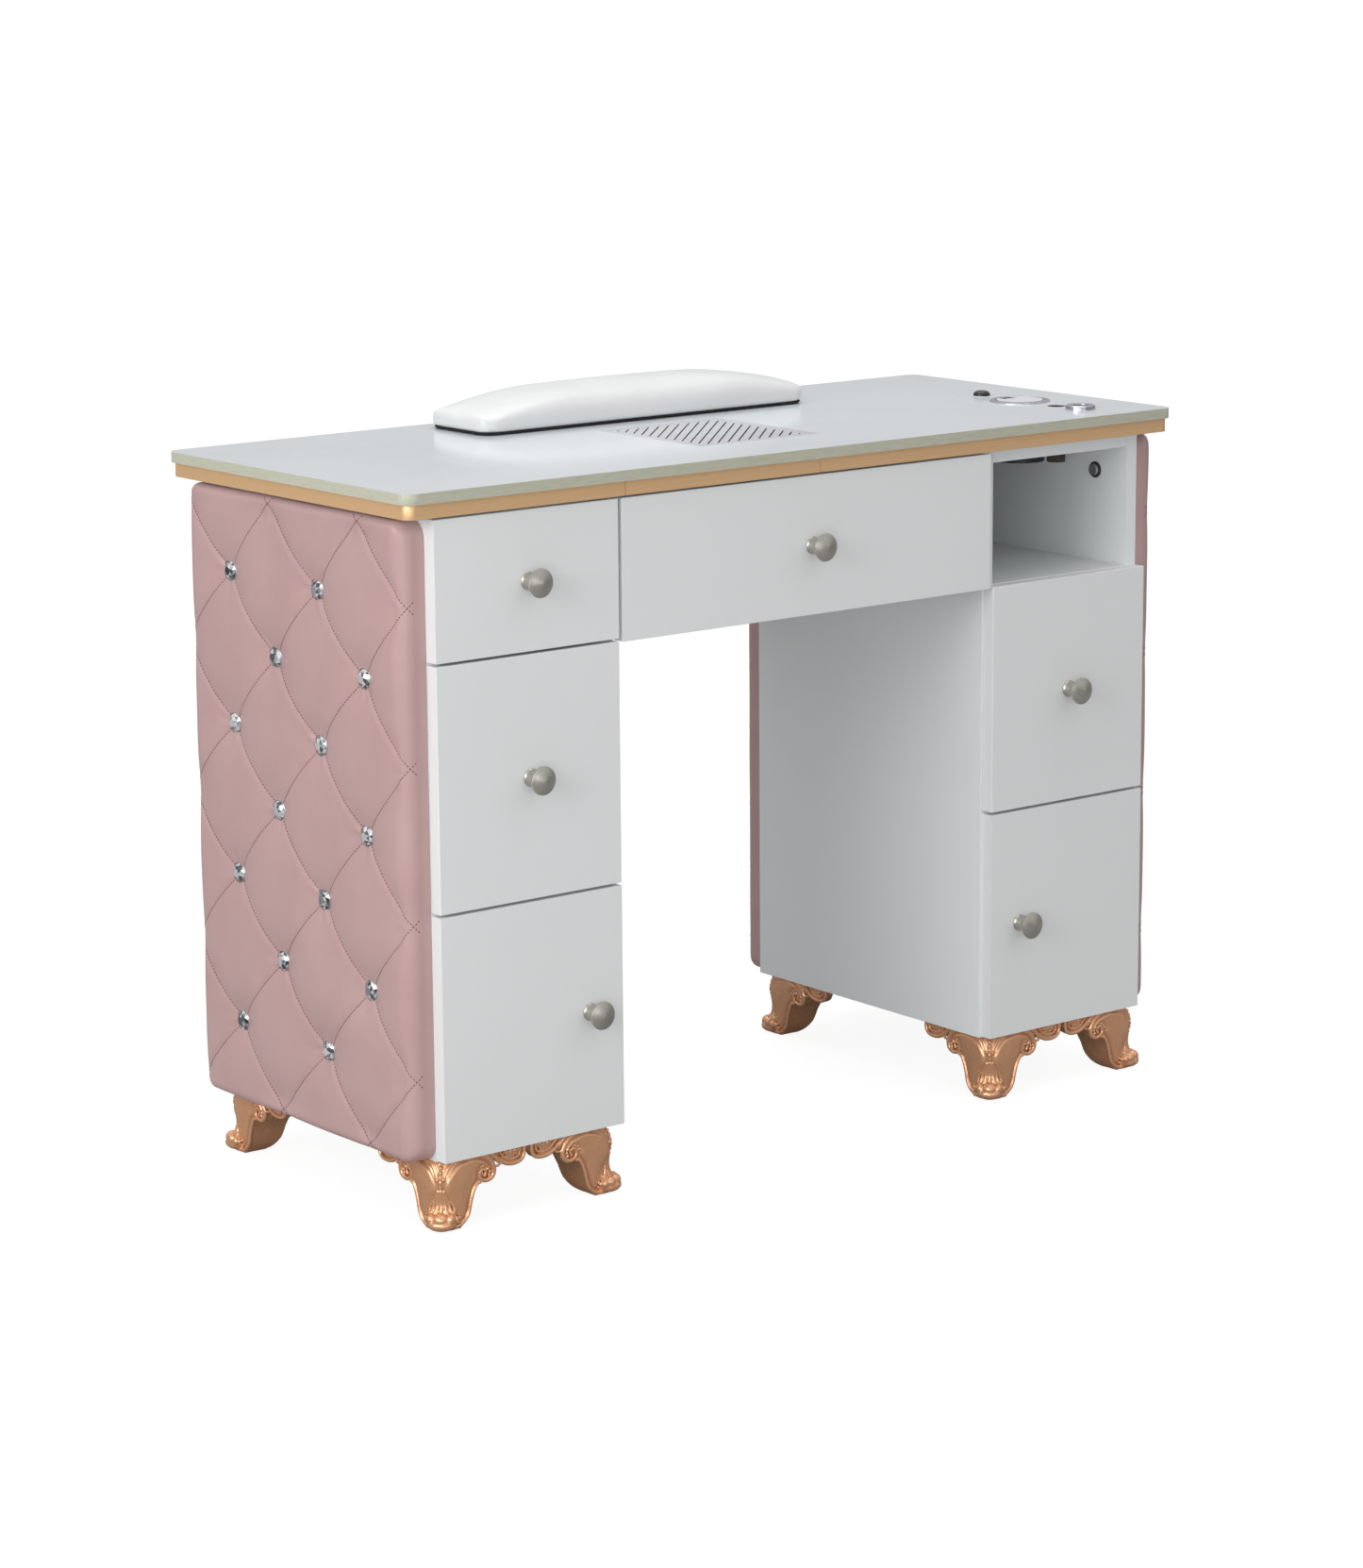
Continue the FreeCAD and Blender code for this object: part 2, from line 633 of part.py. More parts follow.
def make_feet():
    """Cast corner feet: two wings along the bottom edges and a toe under the corner."""
    feet = []
    centre = D["foot_toe_centre"]
    toe = D["foot_toe"]
    for corner_x, side_x in ((outer_face + D["foot_outer"], 1), (inner_face + D["foot_inner"], -1)):
        for side in (-1, 1):
            for y, side_y in ((carcass_front - D["foot_front"], -1),
                              (carcass_back + D["foot_back"], 1)):
                sx = side * side_x
                x = corner_x * side
                wing_x = wing("XZ_Plane", -sx, (x, y, 0), side_y < 0)
                wing_y = wing("YZ_Plane", -side_y, (x, y, 0), sx > 0)
                tip = cone((x - centre * sx, y - centre * side_y, 0), toe, toe - 3,
                           D["foot_toe_height"])
                feet.append(fuse(wing_x, wing_y, tip))
    node(group(feet), "corner_feet")


# ---------------------------------------------------------------- dust collector
def make_dust_collector():
    half = D["vent_length"] / 2
    front = from_front(D["vent_setback"])
    back = front + D["vent_depth"]
    border = D["vent_border"]
    low = slab_top - D["vent_thickness"]
    plate = box((-half, front, low), (half, back, slab_top))
    window = box((border - half, front + border, low - 1), (half - border, back - border, slab_top + 1))
    middle_y = (front + back) / 2
    reach = (D["vent_length"] + D["vent_depth"]) / 2
    pitch = D["slot_pitch"] * math.sqrt(2)
    slots = []
    for step in range(-10, 11):
        slot = box((0, 0, 0), (reach * 2, D["slot_width"], 4))
        slot.Placement.Rotation = FreeCAD.Rotation(V(0, 0, 1), 45)
        shift = pitch * step
        place(slot, (shift / 2 - reach / math.sqrt(2), middle_y - shift / 2 - reach / math.sqrt(2), low - 1))
        slots.append(slot)
    node(cut(plate, common(window, fuse(*slots))), "vent_grille")

    wall = D["housing_wall"]
    bottom = D["housing_bottom"]
    rim = low - 0.2
    inset = D["housing_inset"]
    shell = box((inset - half, front + inset, bottom), (half - inset, back - inset, rim))
    hollow = box((inset + wall - half, front + inset + wall, bottom + wall),
                 (half - inset - wall, back - inset - wall, rim + 1))
    outlet = cylinder((0, middle_y, bottom - 1), D["fan_bore"], wall + 2)
    node(cut(shell, hollow, outlet), "dust_housing")

    size = D["fan_size"] / 2
    deck = bottom + wall
    frame = cut(box((-size, middle_y - size, deck), (size, middle_y + size, deck + D["fan_height"])),
                cylinder((0, middle_y, deck - 1), D["fan_bore"], D["fan_height"] + 2))
    arm = D["spider"]
    reach = D["fan_bore"] + 1
    spider = [box((-reach, middle_y - arm, deck), (reach, middle_y + arm, deck + arm)),
              box((-arm, middle_y - reach, deck), (arm, middle_y + reach, deck + arm)),
              cylinder((0, middle_y, deck), D["fan_hub"], arm * 2)]
    node(fuse(frame, *spider), "fan_frame")
    hub_low = deck + 6.5
    hub = cylinder((0, middle_y, hub_low), D["fan_hub"], D["fan_height"] - 8)
    blades = []
    count = int(D["fan_blades"].value)
    for step in range(count):
        angle = 360.0 * step / count
        blade = box((0, 0, 0), (D["rotor_radius"] - D["fan_hub"] + 2, D["blade_thickness"],
                                D["fan_height"] - 10))
        lean = FreeCAD.Rotation(V(1, 0, 0), D["blade_lean"].value)
        blade.Placement.Rotation = FreeCAD.Rotation(V(0, 0, 1), angle) * lean
        start = D["fan_hub"] - 2
        place(blade, (start * math.cos(math.radians(angle)),
                      middle_y + start * math.sin(math.radians(angle)), hub_low + 1))
        blades.append(blade)
    node(fuse(hub, *blades), "fan_rotor")


# ---------------------------------------------------------------- fittings in the top
def make_fittings():
    x = D["fittings_x"]
    shaft = D["shaft_radius"]
    knob_radius = D["speed_knob_radius"]
    y = from_front(D["speed_knob_y"])
    base = 0.6
    top = base + D["speed_knob_height"]
    shaft_low = carcass_top - D["board"] - slab_top - 2
    steps = [(0, shaft_low), (shaft, shaft_low), (shaft, base), (knob_radius, base),
             (knob_radius, base + D["speed_knob_height"] * 0.4),
             (knob_radius * 0.8, top - D["speed_knob_height"] * 0.2), (knob_radius * 0.5, top),
             (0, top)]
    node(revolved(steps, (x, y, slab_top)), "speed_knob")
    ceiling = carcass_top - D["board"]
    case = box((x - 16, y - 14, ceiling - 24), (x + 16, y + 14, ceiling - 0.3))
    bore = cylinder((x, y, ceiling - 8), shaft + 0.1, 9)
    node(cut(case, bore), "speed_controller")

    y = from_front(D["grommet_y"])
    outside = D["grommet_tube_radius"]
    inside = outside - D["grommet_wall"]
    rim = D["grommet_rim"]
    flange = D["grommet_radius"]
    depth = D["grommet_bottom"] - slab_top
    steps = [(inside, depth), (outside, depth), (outside, 0.2), (flange, 0.2),
             (flange - 1.5, rim, 0.5), (inside + 1.5, rim + 0.3), (inside + 1.5, -2), (inside, -2)]
    node(revolved(steps, (x, y, slab_top)), "grommet_ring")
    cap_radius = D["cap_radius"]
    disc = cylinder((x, y, slab_top - 1.7), cap_radius, 3.8)
    slot_half = D["cap_slot_width"] / 2
    slot = box((x - slot_half, y + cap_radius - D["cap_slot_depth"], slab_top - 3),
               (x + slot_half, y + cap_radius + 2, slab_top + 5))
    node(cut(disc, slot), "grommet_cap")

    y = from_front(D["socket_y"])
    ring = D["socket_radius"]
    tube = D["socket_tube_radius"]
    high = D["socket_height"]
    button = D["button_radius"]
    depth = D["socket_bottom"] - slab_top
    steps = [(0, depth), (tube, depth), (tube, 0.2), (ring, 0.2), (ring, high - 2),
             (ring - 2, high, 0.5), (button + 1.5, high), (button + 0.3, high - 1.5),
             (button + 0.3, -4), (0, -4)]
    node(revolved(steps, (x, y, slab_top)), "socket_bezel")
    travel = D["button_travel"]
    steps = [(0, travel - 3.5), (button, travel - 3.5), (button, high - 2), (button - 1, high - 1),
             (0, high - 1)]
    node(revolved(steps, (x, y, slab_top)), "push_button")


def make_pad_bolts():
    """Hex bolts with washers that hold the side pads, from inside the pedestals."""
    bolts = []
    for side in (-1, 1):
        for distance in (D["pad_bolt_front"], D["pad_bolt_back"]):
            for z in (D["pad_bolt_low"], D["pad_bolt_high"]):
                y = carcass_front + distance
                head = D["pad_bolt_head"]
                s0, s1 = sided(side, outer_inside - 5, outer_face - 0.5)
                w0, w1 = sided(side, outer_inside - 1.5, outer_inside)
                h0, h1 = sided(side, outer_inside - 5.5, outer_inside - 1.4)
                bolts.append(fuse(cylinder((s0, y, z), D["pad_bolt_radius"], s1 - s0, X),
                                  cylinder((w0, y, z), head + 1.5, w1 - w0, X),
                                  cylinder((h0, y, z), head, h1 - h0, X)))
    node(group(bolts), "pad_bolts")


# ---------------------------------------------------------------- wrist rest
def make_wrist_rest():
    half = D["rest_length"] / 2
    inset = D["rest_base_inset"]
    front = from_front(D["rest_setback"])
    back = front + D["rest_depth"]
    x = D["rest_x"]
    lift = D["rest_base_height"]
    node(padded("XY_Plane", rounded(x - half + inset, front + inset, x + half - inset, back - inset,
                                    D["rest_round"]),
                lift, position=(0, 0, slab_top)), "wrist_rest_base")
    rise = D["rest_height"] - lift
    side = rise * 0.5
    # section across the rest: upright lower sides and a crowned top
    steps = [(front, 0), (back, 0), (back, side), (back - 18, rise * 0.88, 4),
             (front + 18, rise * 0.88, rise * 0.12), (front, side, 4)]
    node(padded("YZ_Plane", steps, D["rest_length"], position=(x - half, 0, slab_top + lift)),
         "wrist_rest_cushion")


# ---------------------------------------------------------------- build, check and write
make_top()
make_trims()
make_side_panels()
make_cross_boards()
make_drawers()
make_doors()
make_pads()
make_crystals()
make_feet()
make_dust_collector()
make_fittings()
make_pad_bolts()
make_wrist_rest()
doc.recompute()

for item in doc.Objects:
    if "Invalid" in item.State or "Error" in item.State:
        raise RuntimeError("%s (%s) did not recompute: %s" % (item.Label, item.TypeId, item.State))
for item in NODES:
    if item.Shape.isNull() or not item.Shape.isValid() or not item.Shape.Solids:
        raise RuntimeError("%s has no valid shape" % item.Label)

os.makedirs("parts", exist_ok=True)
for item in NODES:
    item.Shape.exportStep("parts/%s.step" % item.Label)
print("%d sub-parts written" % len(NODES))
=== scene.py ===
"""Looks for the manicure table: materials, tufted pads, cast feet, knobs, crystals and rest."""
import json
import math
import random

import bpy
import numpy as np
from mathutils import Matrix, Vector

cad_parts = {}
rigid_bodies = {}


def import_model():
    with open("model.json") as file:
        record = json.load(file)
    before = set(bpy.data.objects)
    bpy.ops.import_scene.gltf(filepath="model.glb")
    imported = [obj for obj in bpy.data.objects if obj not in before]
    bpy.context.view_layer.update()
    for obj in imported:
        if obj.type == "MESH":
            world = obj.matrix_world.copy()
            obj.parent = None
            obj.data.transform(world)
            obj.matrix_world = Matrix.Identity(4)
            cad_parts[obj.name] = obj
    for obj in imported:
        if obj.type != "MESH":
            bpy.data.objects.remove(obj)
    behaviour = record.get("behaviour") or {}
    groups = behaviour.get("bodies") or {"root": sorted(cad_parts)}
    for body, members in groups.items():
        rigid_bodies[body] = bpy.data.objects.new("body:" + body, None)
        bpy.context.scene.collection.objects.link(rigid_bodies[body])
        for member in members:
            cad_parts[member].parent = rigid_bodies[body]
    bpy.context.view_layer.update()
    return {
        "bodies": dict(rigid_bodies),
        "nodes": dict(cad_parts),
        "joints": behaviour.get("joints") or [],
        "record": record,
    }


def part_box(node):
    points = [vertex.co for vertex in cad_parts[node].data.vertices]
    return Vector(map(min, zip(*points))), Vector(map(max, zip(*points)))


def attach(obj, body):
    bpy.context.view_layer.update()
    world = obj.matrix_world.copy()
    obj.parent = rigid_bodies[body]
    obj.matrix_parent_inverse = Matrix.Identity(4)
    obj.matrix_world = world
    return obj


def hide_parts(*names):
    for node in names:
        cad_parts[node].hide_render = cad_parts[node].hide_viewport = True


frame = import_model()
NODES = frame["nodes"]
MM = 0.001
SIDES = {"left": -1, "right": 1}
DRAWERS = ("left_upper", "left_middle", "centre", "right_middle")
UP = (0, 0, 1)


def linked(name, data):
    """A new object in the scene."""
    thing = bpy.data.objects.new(name, data)
    bpy.context.collection.objects.link(thing)
    return thing


def mesh_of(name, points, faces):
    mesh = bpy.data.meshes.new(name)
    mesh.from_pydata([tuple(p) for p in points], [], faces)
    return mesh


# ---- camera, light, floor
def make_camera():
    """Seen from the left front, a little above the top, from far away."""
    camera = linked("camera", bpy.data.cameras.new("camera"))
    camera.data.lens = 99.82
    camera.data.clip_end = 50
    place = Matrix.Translation((-3.0678, -3.8535, 1.4291))
    yaw = Matrix.Rotation(math.radians(-38.353), 4, "Z")
    pitch = Matrix.Rotation(math.radians(90 - 11.942), 4, "X")
    roll = Matrix.Rotation(math.radians(-0.431), 4, "Z")
    camera.matrix_world = place @ yaw @ pitch @ roll
    bpy.context.scene.camera = camera


def area_light(name, place, target, size, power):
    light = linked(name, bpy.data.lights.new(name, "AREA"))
    light.data.shape = "RECTANGLE"
    light.data.size, light.data.size_y = size
    light.data.energy = power
    light.location = place
    light.rotation_mode = "QUATERNION"
    light.rotation_quaternion = (Vector(target) - Vector(place)).to_track_quat("-Z", "Y")


def white_room():
    """A room that is white to look at, with a darker band round the horizon for reflections."""
    world = bpy.data.worlds.new("white_room")
    world.use_nodes = True
    m = Nodes(world)
    height = m.add("SeparateXYZ", Vector=m.add("TexCoord").outputs["Generated"]).outputs["Z"]
    grey = m.ramp(height, [(at, (c, c, c * 1.01)) for at, c in
                           ((0.0, 0.30), (0.10, 0.42), (0.34, 0.78), (0.75, 1.0))])
    lit = m.add("Background", Color=grey, Strength=0.80)
    seen = m.add("Background", Color=(1, 1, 1), Strength=1.0)
    m.by_ray(lit, seen, "World Output")
    return world


def make_studio():
    """Soft light from above, the left and the front, on a pale floor in a white room."""
    scene = bpy.context.scene
    scene.view_settings.view_transform = "Standard"
    scene.world = white_room()
    area_light("key", (-3.7, -0.9, 1.7), (0, 0, 0.5), (2.4, 2.0), 64)
    area_light("overhead", (0.2, 0.3, 3.2), (0, 0, 0.8), (2.6, 1.8), 32)
    area_light("fill", (-2.7, -2.9, 0.8), (0.1, 0, 0.4), (1.8, 1.2), 23)
    area_light("front", (-0.7, -4.2, 0.9), (0.1, 0, 0.5), (1.6, 1.2), 9)
    reach = 24
    corners = [(-reach, -reach, 0), (reach, -reach, 0), (reach, reach, 0), (-reach, reach, 0)]
    floor = linked("floor", mesh_of("floor", corners, [(0, 1, 2, 3)]))
    floor.location.z = -0.0005
    floor.data.materials.append(floor_paint())


# ---- materials
class Nodes:
    """A material's or world's node tree, and short ways to add and join its nodes."""

    def __init__(self, owner, **sockets):
        if isinstance(owner, str):
            owner = bpy.data.materials.new(owner)
            owner.use_nodes = True
        self.material = owner
        self.tree = owner.node_tree
        self.shader = self.tree.nodes.get("Principled BSDF")
        self.set(self.shader, sockets)

    def feed(self, socket, value):
        """Link a node's output to a socket, or give the socket a plain value."""
        if isinstance(value, bpy.types.NodeSocket):
            self.tree.links.new(value, socket)
        elif isinstance(value, (tuple, list)) and socket.type == "RGBA":
            socket.default_value = (*value, 1)
        else:
            socket.default_value = value

    def set(self, node, sockets):
        for socket, value in sockets.items():
            self.feed(node.inputs[socket.replace("_", " ")], value)
        return node

    def add(self, kind, props=None, **sockets):
        node = self.tree.nodes.new("ShaderNode" + kind)
        for key, value in (props or {}).items():
            setattr(node, key, value)
        return self.set(node, sockets)

    def feed_all(self, node, values):
        for index, value in values:
            self.feed(node.inputs[index], value)
        return node

    def place(self, scale=(1, 1, 1)):
        coords = self.add("TexCoord").outputs["Object"]
        return self.add("Mapping", Vector=coords, Scale=scale).outputs["Vector"]

    def noise(self, vector, scale, detail=3.0, roughness=0.5):
        return self.add("TexNoise", Vector=vector, Scale=scale, Detail=detail,
                        Roughness=roughness).outputs["Fac"]

    def ramp(self, value, stops):
        node = self.add("ValToRGB", Fac=value)
        elements = node.color_ramp.elements
        while len(elements) < len(stops):
            elements.new(0.5)
        for element, (position, colour) in zip(elements, stops):
            element.position = position
            element.color = (*colour, 1) if isinstance(colour, tuple) else (colour,) * 3 + (1,)
        return node.outputs["Color"]

    def vary(self, value, low, high):
        """From low to high as a noise rises."""
        return self.ramp(value, [(0.3, low), (0.7, high)])

    def mix(self, factor, a, b):
        node = self.add("Mix", {"data_type": "RGBA"})
        return self.feed_all(node, ((0, factor), (6, a), (7, b))).outputs[2]

    def math(self, operation, a, b=0.0):
        node = self.add("Math", {"operation": operation})
        return self.feed_all(node, ((0, a), (1, b))).outputs[0]

    def by_ray(self, lit, seen, output):
        """One shader for what the surface lights, and another for how the camera sees it."""
        choice = self.add("MixShader")
        ray = self.add("LightPath").outputs["Is Camera Ray"]
        self.feed_all(choice, ((0, ray), (1, lit.outputs[0]), (2, seen.outputs[0])))
        self.feed(self.tree.nodes[output].inputs["Surface"], choice.outputs[0])

    def bump(self, height, strength, distance):
        bump = self.add("Bump", Height=height, Strength=strength, Distance=distance)
        self.feed(self.shader.inputs["Normal"], bump.outputs["Normal"])

    def finish(self, colour, rough):
        """Give the shader its colour and roughness."""
        self.set(self.shader, {"Base_Color": colour, "Roughness": rough})
        return self.material


def scaled(colour, share):
    return tuple(c * share for c in colour)


def floor_paint():
    """White to look at, with faint shadows, but a dull grey floor to what it lights."""
    m = Nodes("floor_paint", Base_Color=(0.16, 0.16, 0.16), Roughness=0.9)
    glow = m.add("Emission", Color=(1, 1, 1), Strength=0.90)
    both = m.feed_all(m.add("AddShader"), ((0, m.shader.outputs[0]), (1, glow.outputs[0])))
    m.by_ray(m.add("BsdfDiffuse", Color=(0.34, 0.34, 0.34)), both, "Material Output")
    return m.material


def marble():
    """Polished pale marble look with faint veins, and an olive-grey cut edge."""
    m = Nodes("marble", IOR=1.38)
    where = m.place()
    bend = m.noise(where, 1.6, 5, 0.6)
    warped = m.add("MixRGB", {"blend_type": "ADD"}, Fac=0.35, Color1=where, Color2=bend)
    veins = m.noise(warped.outputs["Color"], 2.4, 7, 0.62)
    thin = m.ramp(m.math("ABSOLUTE", m.math("SUBTRACT", veins, 0.5)), [(0.0, 1.0), (0.03, 0.0)])
    cloud = m.vary(m.noise(where, 3.2, 4), (0.645, 0.685, 0.715), (0.70, 0.74, 0.765))
    top = m.mix(m.math("MULTIPLY", thin, 0.16), cloud, (0.60, 0.63, 0.68))
    up = m.add("SeparateXYZ", Vector=m.add("NewGeometry").outputs["Normal"]).outputs["Z"]
    edge = m.vary(m.noise(m.place((60, 60, 400)), 1.0), (0.49, 0.49, 0.39), (0.55, 0.55, 0.445))
    is_top = m.ramp(m.math("ABSOLUTE", up), [(0.80, 0.0), (0.95, 1.0)])
    return m.finish(m.mix(is_top, edge, top), m.ramp(is_top, [(0.0, 0.38), (1.0, 0.13)]))


def brushed(name, light, dark, scale, roughness=0.3, strength=0.12, metallic=1.0):
    """Metal with fine straight grain. scale stretches the grain along the axis it is small on."""
    m = Nodes(name, Metallic=metallic)
    grain = m.noise(m.place(scale), 1.0, 5, 0.65)
    m.bump(grain, strength, 0.0004)
    return m.finish(m.vary(grain, dark, light), m.vary(grain, roughness + 0.08, roughness - 0.06))


def turned(name, light, dark):
    """Nickel turned on a lathe: fine rings about the piece's own Y axis and a fan of light."""
    m = Nodes(name, Metallic=1.0, Anisotropic=0.75)
    coords = m.add("SeparateXYZ", Vector=m.add("TexCoord").outputs["Object"])
    x, z = coords.outputs["X"], coords.outputs["Z"]
    across = m.math("SQRT", m.math("ADD", m.math("MULTIPLY", x, x), m.math("MULTIPLY", z, z)))
    where = m.add("CombineXYZ", X=across, Y=coords.outputs["Y"], Z=0.0).outputs[0]
    rings = m.noise(where, 2600, 4, 0.7)
    m.bump(rings, 0.25, 0.0002)
    tangent = m.add("Tangent", {"direction_type": "RADIAL", "axis": "Y"}).outputs[0]
    m.feed(m.shader.inputs["Tangent"], tangent)
    return m.finish(m.vary(rings, dark, light), m.vary(rings, 0.34, 0.24))


def lacquer(name, colour, roughness):
    """Smooth sprayed board with a trace of orange peel."""
    m = Nodes(name, Coat_Weight=0.12, Coat_Roughness=0.25)
    where = m.place()
    m.bump(m.noise(where, 500, 2), 0.04, 0.0003)
    return m.finish(m.vary(m.noise(where, 3.0, 2), scaled(colour, 0.975), colour),
                    m.vary(m.noise(where, 40, 3), roughness, roughness + 0.05))


def polished(name, colour, roughness):
    """Plated metal with faint smears."""
    m = Nodes(name, Metallic=1.0)
    where = m.place()
    rough = m.ramp(m.noise(where, 90, 3), [(0.35, roughness), (0.75, roughness + 0.07)])
    return m.finish(m.vary(m.noise(where, 25, 3), scaled(colour, 0.9), colour), rough)


def plastic(name, colour, roughness=0.45, bump=0.1):
    m = Nodes(name)
    grain = m.noise(m.place(), 900, 2)
    m.bump(grain, bump, 0.0003)
    return m.finish(m.vary(grain, colour, scaled(colour, 1.25)),
                    m.vary(grain, roughness, roughness + 0.12))


def faux_leather(name, light, dark, grain, roughness):
    """Coated leather: fine cells, faint mottling and a soft sheen."""
    m = Nodes(name, Sheen_Weight=0.08, Sheen_Roughness=0.5, Coat_Weight=0.05, Coat_Roughness=0.35)
    where = m.place()
    cells = m.add("TexVoronoi", {"feature": "F1"}, Vector=where, Scale=900.0).outputs["Distance"]
    creases = m.noise(where, 420, 4, 0.6)
    m.bump(m.math("ADD", m.math("MULTIPLY", cells, 0.7), creases), grain, 0.00025)
    return m.finish(m.vary(m.noise(where, 14, 3), dark, light),
                    m.vary(creases, roughness - 0.04, roughness + 0.06))


def cut_crystal():
    """Crystal with painted reflections: each facet gets its own painted brightness, near black to
    white, under a clear glossy face.
    """
    m = Nodes("cut_crystal", Metallic=0.65, IOR=1.6, Coat_Weight=1.0, Coat_Roughness=0.02)
    shade = m.add("Attribute", {"attribute_name": "facet"}).outputs["Fac"]
    # painted reflection: each facet's random value picks a painted brightness from near black to
    # white
    tone = m.ramp(shade, [(0.0, (0.02, 0.022, 0.028)), (0.35, (0.20, 0.21, 0.23)),
                          (0.6, (0.62, 0.64, 0.68)), (1.0, (1.0, 1.0, 1.0))])
    return m.finish(tone, m.vary(m.noise(m.place(), 300, 2), 0.04, 0.09))


def rose_gold():
    """Polished copper-rose plating, with painted shade in the hollows and painted highlights on the
    crests, set by curvature.
    """
    m = Nodes("rose_gold", Metallic=0.6)
    curvature_shade = m.add("NewGeometry").outputs["Pointiness"]
    # painted shade: near black in the hollows; painted highlight: paler on the crests
    tone = m.ramp(curvature_shade, [(0.42, (0.10, 0.034, 0.014)), (0.47, (0.72, 0.36, 0.19)),
                         (0.54, (0.92, 0.52, 0.30)), (0.62, (0.96, 0.64, 0.43))])
    smears = m.math("MULTIPLY", m.noise(m.place(), 60, 3), 0.2)
    return m.finish(m.mix(smears, tone, (0.55, 0.28, 0.16)),
                    m.vary(m.noise(m.place(), 110, 3), 0.20, 0.29))


def chrome_over_black(top):
    """Chrome where it shows on the slab, black plastic below it."""
    m = Nodes("chrome_over_black")
    height = m.add("SeparateXYZ", Vector=m.add("TexCoord").outputs["Object"]).outputs["Z"]
    above = m.math("GREATER_THAN", height, top)
    m.feed(m.shader.inputs["Metallic"], above)
    smears = m.noise(m.place(), 90, 3)
    plated = m.vary(smears, (0.42, 0.43, 0.47), (0.52, 0.53, 0.57))
    return m.finish(m.mix(above, (0.02, 0.02, 0.022), plated),
                    m.mix(above, (0.5, 0.5, 0.5), m.vary(smears, 0.24, 0.32)))


# ---- mesh helpers
def add_piece(name, shape, material, body, smooth=True, sharp=None, origin=(0, 0, 0)):
    """A mesh object in the row frame that rides on a body."""
    mesh = mesh_of(name, *shape)
    mesh.validate()
    if smooth:
        mesh.shade_smooth()
    if sharp:
        mesh.set_sharp_from_angle(angle=math.radians(sharp))
    piece = linked(name, mesh)
    piece.location = origin
    mesh.materials.append(material)
    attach(piece, body)
    return piece


def modify(piece, kind, **values):
    """A new modifier with its values."""
    modifier = piece.modifiers.new(kind.lower(), kind)
    for key, value in values.items():
        setattr(modifier, key, value)
    return modifier


def evaluated(piece):
    return piece.evaluated_get(bpy.context.evaluated_depsgraph_get())


def joined(shapes):
    """Points and faces of several (points, faces) shapes as one."""
    points, faces = [], []
    for some_points, some_faces in shapes:
        start = len(points)
        points.extend(some_points)
        faces.extend(tuple(i + start for i in face) for face in some_faces)
    return points, faces


def moved(shape, place):
    """A shape under a matrix, turned right side out again if the matrix mirrors it."""
    points, faces = shape
    if place.to_3x3().determinant() < 0:
        faces = [tuple(reversed(face)) for face in faces]
    return [place @ Vector(p) for p in points], faces


def band(low, high):
    """The faces between two rings with as many points each."""
    after = [*range(1, len(low)), 0]
    return [(low[k], low[n], high[n], high[k]) for k, n in enumerate(after)]


def loft(rings):
    """The faces of a closed shape with a flat cap on its first and last ring."""
    faces = [tuple(reversed(rings[0])), tuple(rings[-1])]
    for low, high in zip(rings, rings[1:]):
        faces += band(low, high)
    return faces


def circle(count, lag=0.0):
    """Cosine and sine of evenly spaced turns."""
    turns = [2 * math.pi * (k + lag) / count for k in range(count)]
    return [(math.cos(t), math.sin(t)) for t in turns]


def turned_shape(profile, place, segments=96):
    """A closed shape turned about +Z of the matrix place. profile is (radius, height) pairs."""
    points, rings = [], []
    for radius, height in profile:
        start = len(points)
        spots = circle(segments) if radius > 1e-7 else [(0, 0)]
        points += [place @ Vector((radius * c, radius * s, height)) for c, s in spots]
        rings.append(range(start, len(points)))
    faces = []
    for low, high in zip(rings, rings[1:]):
        if len(low) == 1 and len(high) > 1:
            faces += [(low[0], q, p) for p, q, _, _ in band(high, high)]
        elif len(high) == 1 and len(low) > 1:
            faces += [(p, q, high[0]) for p, q, _, _ in band(low, low)]
        elif len(low) > 1:
            faces += band(low, high)
    return points, faces


def axes(origin, u, v, w):
    """The matrix with these three axes and origin."""
    return Matrix.Translation(origin) @ Matrix((u, v, w)).transposed().to_4x4()


def aim(origin, outward):
    """A matrix whose +Z points along outward and whose origin is at origin."""
    w = Vector(outward).normalized()
    u = Vector(UP).cross(w)
    if u.length < 1e-4:
        u = Vector((1, 0, 0))
    u.normalize()
    return axes(origin, u, w.cross(u), w)


def arc(cx, cy, radius, start, end, steps):
    """Points of an arc, angles in degrees."""
    turns = [math.radians(start + (end - start) * k / steps) for k in range(steps + 1)]
    return [(cx + radius * math.cos(t), cy + radius * math.sin(t)) for t in turns]


def rim_of(index):
    """The numbers round the edge of a grid of point numbers, in order."""
    rim = [*index[:, 0], *index[-1, 1:], *index[-2::-1, -1], *index[0, -2:0:-1]]
    return [int(k) for k in rim]


def rounded_plan(u, v, width, height, radius):
    """Pulls the points near the corners of a rectangle onto a rounded outline."""
    p = np.clip((radius - np.minimum(u, width - u)) / radius, 0, 1)
    q = np.clip((radius - np.minimum(v, height - v)) / radius, 0, 1)
    shift_u = radius * p * (1 - np.sqrt(1 - q * q / 2))
    shift_v = radius * q * (1 - np.sqrt(1 - p * p / 2))
    return (u + np.where(u < width / 2, shift_u, -shift_u),
            v + np.where(v < height / 2, shift_v, -shift_v))


